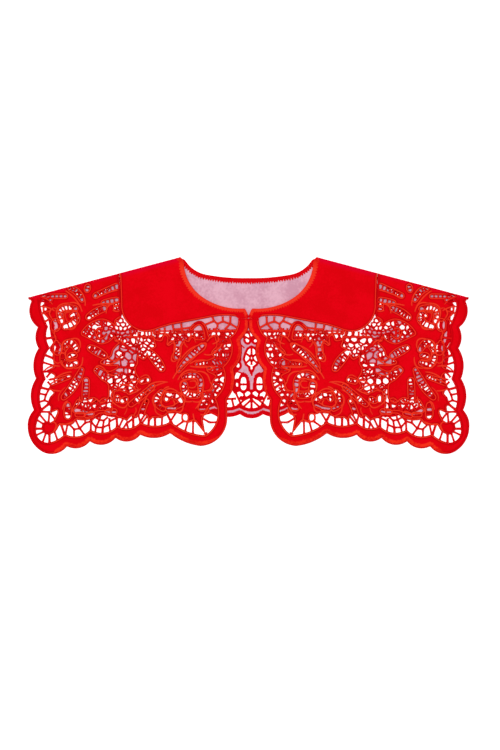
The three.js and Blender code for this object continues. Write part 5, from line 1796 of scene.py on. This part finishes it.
@dataclass
class Groups:
    """The shader node groups that the finishes share. The scales of noise are in turns to a metre."""

    slubs: float = 900.0
    clouds: float = 45.0
    flecks: float = 420.0
    cloud_share: float = 0.6  # of the mottle, to which the flecks add the rest
    thread_drift: float = 1.6  # how far a noise shifts the threads
    thread_shades: Row = (0.7, 0.5)  # of noise and of relief in the threads' shade
    rags: float = 620.0
    rag_edge: float = 0.35  # half the width over which a ragged band ends

    def __post_init__(self) -> None:
        """Make the groups."""
        self.weave = self.make_weave()
        self.threads = self.make_threads()
        self.band = self.make_band()

    def make_weave(self) -> Tree:
        """A plain weave: the product of a sine across and a sine along, loosened by a soft noise.

        Returns:
            The group.
        """
        inputs = {"Vector": "Vector", "Pitch": "Float"}
        kit, given, result = new_group("plain_weave", inputs, ["Height", "Mottle"])
        parts = kit.add("ShaderNodeSeparateXYZ", {0: given["Vector"]})
        turns = kit.maths("DIVIDE", 2.0 * np.pi, given["Pitch"])
        sines = [kit.maths("SINE", kit.maths("MULTIPLY", parts.outputs[k], turns)) for k in range(2)]
        woven = kit.maths("MULTIPLY_ADD", kit.maths("MULTIPLY", *sines), 0.5, 0.5)
        slubs = kit.noise(given["Vector"], self.slubs)
        kit.join(kit.maths("MULTIPLY_ADD", slubs, 0.5, woven), result["Height"])
        clouds = kit.noise(given["Vector"], self.clouds, 3.0)
        flecks = kit.maths("MULTIPLY", kit.noise(given["Vector"], self.flecks), 1.0 - self.cloud_share)
        kit.join(kit.maths("MULTIPLY_ADD", clouds, self.cloud_share, flecks), result["Mottle"])
        return kit.tree

    def make_threads(self) -> Tree:
        """Satin stitches: rounded threads side by side along a run, uneven by a noise.

        Returns:
            The group.
        """
        inputs = {"Run": "Float", "Pitch": "Float"}
        kit, given, result = new_group("satin_threads", inputs, ["Height", "Shade"])
        turns = kit.maths("DIVIDE", given["Run"], given["Pitch"])
        along = {"W": kit.maths("MULTIPLY", turns, 0.5), "Scale": 1.0}
        uneven = kit.add("ShaderNodeTexNoise", along, noise_dimensions="1D").outputs["Fac"]
        turns = kit.maths("MULTIPLY_ADD", uneven, self.thread_drift, kit.maths("MULTIPLY", turns, np.pi))
        ridge = kit.maths("ABSOLUTE", kit.maths("SINE", turns))
        kit.join(ridge, result["Height"])
        shade = kit.maths("MULTIPLY", ridge, self.thread_shades[1])
        kit.join(kit.maths("MULTIPLY_ADD", uneven, self.thread_shades[0], shade), result["Shade"])
        return kit.tree

    def make_band(self) -> Tree:
        """A ragged band beside an edge: 1 between two distances from it, with uneven sides.

        Returns:
            The group.
        """
        inputs = {"Vector": "Vector"} | {key: "Float" for key in ("Distance", "Near", "Far", "Raggedness")}
        kit, given, result = new_group("ragged_band", inputs, ["Mask"])
        noise = kit.maths("SUBTRACT", kit.noise(given["Vector"], self.rags, 3.0), 0.5)
        place = kit.maths("ADD", given["Distance"], kit.maths("MULTIPLY", noise, given["Raggedness"]))
        rise = kit.maths("SUBTRACT", place, given["Near"])
        fall = kit.maths("SUBTRACT", given["Far"], place)
        inside = kit.maths("MINIMUM", rise, fall)
        kit.join(kit.ranged(inside, -self.rag_edge, self.rag_edge, 0.0, 1.0), result["Mask"])
        return kit.tree


class MaterialKit(NodeKit):
    """Builds one material round a Principled shader."""

    def __init__(self, name: str, **values: object) -> None:
        """Start a material.

        Args:
            name: The material's name.
            values: Plain values of the shader, with an underscore for each blank of the input's name.
        """
        self.material = bpy.data.materials.new(name)
        self.material.use_nodes = True
        self.material.node_tree.nodes.clear()
        super().__init__(self.material.node_tree)
        self.shader = self.add("ShaderNodeBsdfPrincipled")
        self.join(self.shader.outputs[0], self.add("ShaderNodeOutputMaterial").inputs["Surface"])
        for key, value in values.items():
            self.feed(key.replace("_", " "), value)

    def feed(self, key: str, value: object) -> None:
        """Give the shader an input."""
        self.join(value, self.shader.inputs[key])

    def attribute(self, name: str) -> Socket:
        """The value of an attribute of the piece."""
        return self.add("ShaderNodeAttribute", attribute_name=name).outputs["Fac"]

    def object_place(self) -> Socket:
        """Where a point of the piece lies."""
        return self.add("ShaderNodeTexCoord").outputs["Object"]

    def relief(self, height: Socket, strength: float, distance: float) -> None:
        """Raise the surface by a height."""
        inputs = {"Strength": strength, "Distance": distance, "Height": height}
        self.feed("Normal", self.add("ShaderNodeBump", inputs).outputs["Normal"])


@dataclass(frozen=True)
class WovenFinish:
    """One side of the cloth: its ground colours, the colour beside its stitched edges (a painted shade on the
    right side, the stitches' own red on the wrong side), a painted sheen by the fold, its stitched bands and
    its weave.
    """

    name: str
    light: Colour
    dark: Colour
    edge_shade_and_stitching: Colour  # beside the stitched edges: a painted shade on the right side, the red of the stitches seen from behind on the wrong side
    band: Colour  # ragged stitches inside the hem and the border
    turned: Colour  # painted sheen on the curve of the fold
    fold_sheen_reach: float = 7.5  # squares from the fold
    fold_sheen_share: float = 0.9
    edge_reach: float = 3.4  # squares from the edge to where that edge colour ends
    edge_start: float = 1.9
    edge_share: float = 0.85
    hem_band: Row = (1.2, 3.5, 3.4)  # squares from the edge to its near and far side, and its raggedness
    rim_band: Row = (-1.0, 3.4, 1.2)
    mottled: Row = (0.38, 0.62)  # range of the mottle from the dark to the light colour
    band_mottled: Row = (0.35, 0.6)
    band_share: Row = (0.15, 0.95)  # of the band's colour over that range
    pitch: float = 0.00052
    roughness: float = 0.78
    gloss: float = 0.02
    relief: Row = (0.7, 0.00006)  # strength, and height in metres
    stitch_relief: float = 1.4  # of the bands, as a share of the weave's

    def make(self, groups: Groups) -> Material:
        """Build the finish: mottled ground with a painted sheen by the fold, a painted shade beside the
        stitching (on the wrong side the stitches' own red), with ragged bands by the edges.

        Args:
            groups: The shared node groups.

        Returns:
            The material.
        """
        kit = MaterialKit(self.name, Roughness=self.roughness, Specular_IOR_Level=self.gloss)
        place = kit.object_place()
        edge, hem, rim, fold = (kit.attribute(key) for key in ("edge", "hem", "rim", "fold"))
        weave = kit.place(groups.weave, Vector=place, Pitch=self.pitch)
        mottle = weave.outputs["Mottle"]
        ground = kit.mixed(kit.ranged(mottle, *self.mottled, 0.0, 1.0), srgb(*self.dark), srgb(*self.light))
        # Painted sheen where the cloth curves round the fold.
        turned = kit.ranged(fold, 0.0, self.fold_sheen_reach, self.fold_sheen_share, 0.0)
        ground = kit.mixed(turned, ground, srgb(*self.turned))
        # Painted shade beside the stitched edges on the right side; on the wrong side the red of the stitches
        # seen from behind.
        shade_and_stitching_share = kit.ranged(edge, self.edge_start, self.edge_reach, self.edge_share, 0.0)
        colour = kit.mixed(shade_and_stitching_share, ground, srgb(*self.edge_shade_and_stitching))
        bands = [
            kit.place(groups.band, Vector=place, Distance=distance, Near=near, Far=far, Raggedness=ragged)
            for distance, (near, far, ragged) in ((hem, self.hem_band), (rim, self.rim_band))
        ]
        mask = kit.maths("MAXIMUM", *(band.outputs["Mask"] for band in bands))
        share = kit.ranged(mottle, *self.band_mottled, *self.band_share)
        kit.feed("Base Color", kit.mixed(kit.maths("MULTIPLY", mask, share), colour, srgb(*self.band)))
        height = kit.maths("MULTIPLY_ADD", mask, self.stitch_relief, weave.outputs["Height"])
        kit.relief(height, *self.relief)
        return kit.material


# On the right side the edge colour is a painted shade and the fold colour a painted sheen; on the wrong side
# the edge colour is the red of the stitches seen from behind, and the fold colour again a painted sheen.
RIGHT_SIDE = WovenFinish(
    "cloth_right_side",
    light=(234, 0, 18), dark=(222, 0, 12), edge_shade_and_stitching=(190, 0, 8), band=(252, 52, 26), turned=(222, 0, 48),
)
WRONG_SIDE = WovenFinish(
    "cloth_wrong_side",
    light=(232, 178, 195), dark=(211, 152, 172), edge_shade_and_stitching=(214, 4, 22), band=(212, 0, 16), turned=(222, 40, 80),
    edge_start=1.1, edge_reach=1.9, edge_share=1.0,
    hem_band=(-1.0, 4.3, 2.6), rim_band=(-1.0, 3.7, 1.2), band_share=(1.0, 1.0),
)


@dataclass(frozen=True)
class SatinFinish:
    """Satin stitches and wrapped bars: bright on the edges of the fronts, deep on bars and hems."""

    name: str = "satin_stitching"
    bright: Colour = (255, 62, 36)
    bright_shade: Colour = (254, 42, 24)
    deep: Colour = (238, 0, 14)
    deep_shade: Colour = (214, 0, 12)
    plain: Colour = (222, 0, 14)
    shaded: Row = (0.25, 0.9)  # range of the threads' shade from the dark to the light colour
    pitch: float = 0.42  # squares
    roughness: float = 0.46
    gloss: float = 0.04
    relief: Row = (0.8, 0.00016)  # strength, and height in metres

    def make(self, groups: Groups) -> Material:
        """Build the finish: threads side by side along the cord, in two tones.

        Args:
            groups: The shared node groups.

        Returns:
            The material.
        """
        kit = MaterialKit(self.name, Roughness=self.roughness, Specular_IOR_Level=self.gloss)
        parts = kit.add("ShaderNodeSeparateXYZ", {0: kit.add("ShaderNodeUVMap", uv_map="UVMap").outputs[0]})
        tone = kit.attribute("tone")
        threads = kit.place(groups.threads, Run=parts.outputs[0], Pitch=self.pitch)
        shade = kit.ranged(threads.outputs["Shade"], *self.shaded, 0.0, 1.0)
        bright = kit.mixed(shade, srgb(*self.bright_shade), srgb(*self.bright))
        deep = kit.mixed(shade, srgb(*self.deep_shade), srgb(*self.deep))
        plain = kit.ranged(tone, 1.0, PLAIN_TONE, 0.0, 1.0)
        kit.feed("Base Color", kit.mixed(plain, kit.mixed(tone, bright, deep), srgb(*self.plain)))
        kit.relief(threads.outputs["Height"], *self.relief)
        return kit.material


@dataclass(frozen=True)
class SteelFinish:
    """The plain steel of the clasp."""

    name: str = "clasp_steel"
    colour: Colour = (190, 190, 194)
    scuffed: Colour = (150, 150, 156)
    brushing: Row = (60.0, 1800.0, 1800.0)  # how closely the lines lie along, across and up
    lines: Row = (0.2, 0.8)  # range of the noise over which the roughness changes
    roughness: Row = (0.28, 0.5)

    def make(self) -> Material:
        """Build the finish: brushed along the bar.

        Returns:
            The material.
        """
        kit = MaterialKit(self.name, Metallic=1.0)
        place = kit.add("ShaderNodeMapping", {"Scale": self.brushing, "Vector": kit.object_place()})
        lines = kit.noise(place.outputs[0], 1.0, 3.0)
        kit.feed("Base Color", kit.mixed(lines, srgb(*self.scuffed), srgb(*self.colour)))
        kit.feed("Roughness", kit.ranged(lines, *self.lines, *self.roughness))
        return kit.material


@dataclass(frozen=True)
class Studio:
    """A white surface under soft light, and the camera straight above it."""

    collar: Collar
    photo_width: int = 500
    photo_height: int = 750
    centre_column: float = 248.5  # of the photograph, where X = 0 lies
    centre_row: float = 355.1  # where Y = 0 lies
    lens: float = 100.0
    sensor: float = 36.0
    floor_size: float = 12.0
    floor_cells: int = 8
    floor_drop: float = 0.0003
    floor_colour: Colour = (255, 255, 255)
    floor_worn: Colour = (252, 252, 252)
    floor_glow: float = 0.5
    floor_roughness: float = 0.9
    floor_wear: float = 3.0  # scale of its worn places
    world_light: float = 0.34
    lamp_place: Row = (-0.1, 0.15, 2.3)
    lamp_size: float = 0.7
    lamp_power: float = 36.0

    def build(self) -> None:
        """Make the floor, the lights and the camera."""
        self.add_floor()
        self.add_world()
        self.add_lamp()
        self.add_camera()

    def add_floor(self) -> None:
        """Lay a pale floor just under the collar."""
        steps = np.linspace(-self.floor_size / 2.0, self.floor_size / 2.0, self.floor_cells + 1)
        points = np.stack(np.meshgrid(steps, steps, -self.floor_drop, indexing="ij"), axis=-1).reshape(-1, 3)
        index = np.arange(len(points)).reshape(len(steps), len(steps))
        faces = np.stack(cell_corners(index), axis=-1).reshape(-1, 4)
        mesh = bpy.data.meshes.new("floor")
        mesh.from_pydata(points.tolist(), [], faces.tolist())
        glow = {"Emission_Color": (1.0, 1.0, 1.0, 1.0), "Emission_Strength": self.floor_glow}
        kit = MaterialKit("floor_paint", Roughness=self.floor_roughness, **glow)
        wear = kit.noise(kit.object_place(), self.floor_wear)
        kit.feed("Base Color", kit.mixed(wear, srgb(*self.floor_worn), srgb(*self.floor_colour)))
        mesh.materials.append(kit.material)
        floor = bpy.data.objects.new("floor", mesh)
        bpy.context.scene.collection.objects.link(floor)
        floor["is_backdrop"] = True

    def add_world(self) -> None:
        """Light everything evenly from all round."""
        world = bpy.data.worlds.new("studio")
        world.use_nodes = True
        background = world.node_tree.nodes["Background"]
        background.inputs["Color"].default_value = (1.0, 1.0, 1.0, 1.0)
        background.inputs["Strength"].default_value = self.world_light
        bpy.context.scene.world = world

    def add_lamp(self) -> None:
        """Hang a soft lamp that points at the collar."""
        light = bpy.data.lights.new("overhead_softbox", "AREA")
        light.size = self.lamp_size
        light.energy = self.lamp_power
        lamp = bpy.data.objects.new("overhead_softbox", light)
        lamp.location = self.lamp_place
        way = -np.array(self.lamp_place)
        tilt, turn = np.arctan2(np.hypot(way[0], way[1]), -way[2]), np.arctan2(-way[0], way[1])
        lamp.rotation_euler = (float(tilt), 0.0, float(turn))
        bpy.context.scene.collection.objects.link(lamp)

    def add_camera(self) -> None:
        """Hang the camera over the middle of the photograph, looking straight down."""
        scale = self.collar.square
        across = (self.photo_width / 2.0 - self.centre_column) * scale
        up = (self.centre_row - self.photo_height / 2.0) * scale
        data = bpy.data.cameras.new("camera")
        data.sensor_fit = "VERTICAL"
        data.sensor_height = self.sensor
        data.lens = self.lens
        camera = bpy.data.objects.new("camera", data)
        camera.location = (across, up, self.photo_height * scale * self.lens / self.sensor)
        bpy.context.scene.collection.objects.link(camera)
        bpy.context.scene.camera = camera


def main() -> None:
    """Build the collar and its studio."""
    logging.basicConfig(level=logging.INFO, format="%(name)s: %(message)s")
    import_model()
    groups = Groups()
    cloth = [RIGHT_SIDE.make(groups), WRONG_SIDE.make(groups)]
    collar = Collar.from_frame(Finishes(cloth, SatinFinish().make(groups), SteelFinish().make()))
    yoke = Yoke(collar)
    fronts = [FrontLace(collar, hand) for hand in Hand]
    for part in (NeckBand(yoke), NeckClasp(collar), yoke, BackLace(collar), *fronts):
        for piece in part.build():
            LOG.info("%s: %d faces", piece.name, len(piece.data.polygons))
    Studio(collar).build()
    bpy.context.scene.view_settings.view_transform = "Standard"


if __name__ == "__main__":
    main()
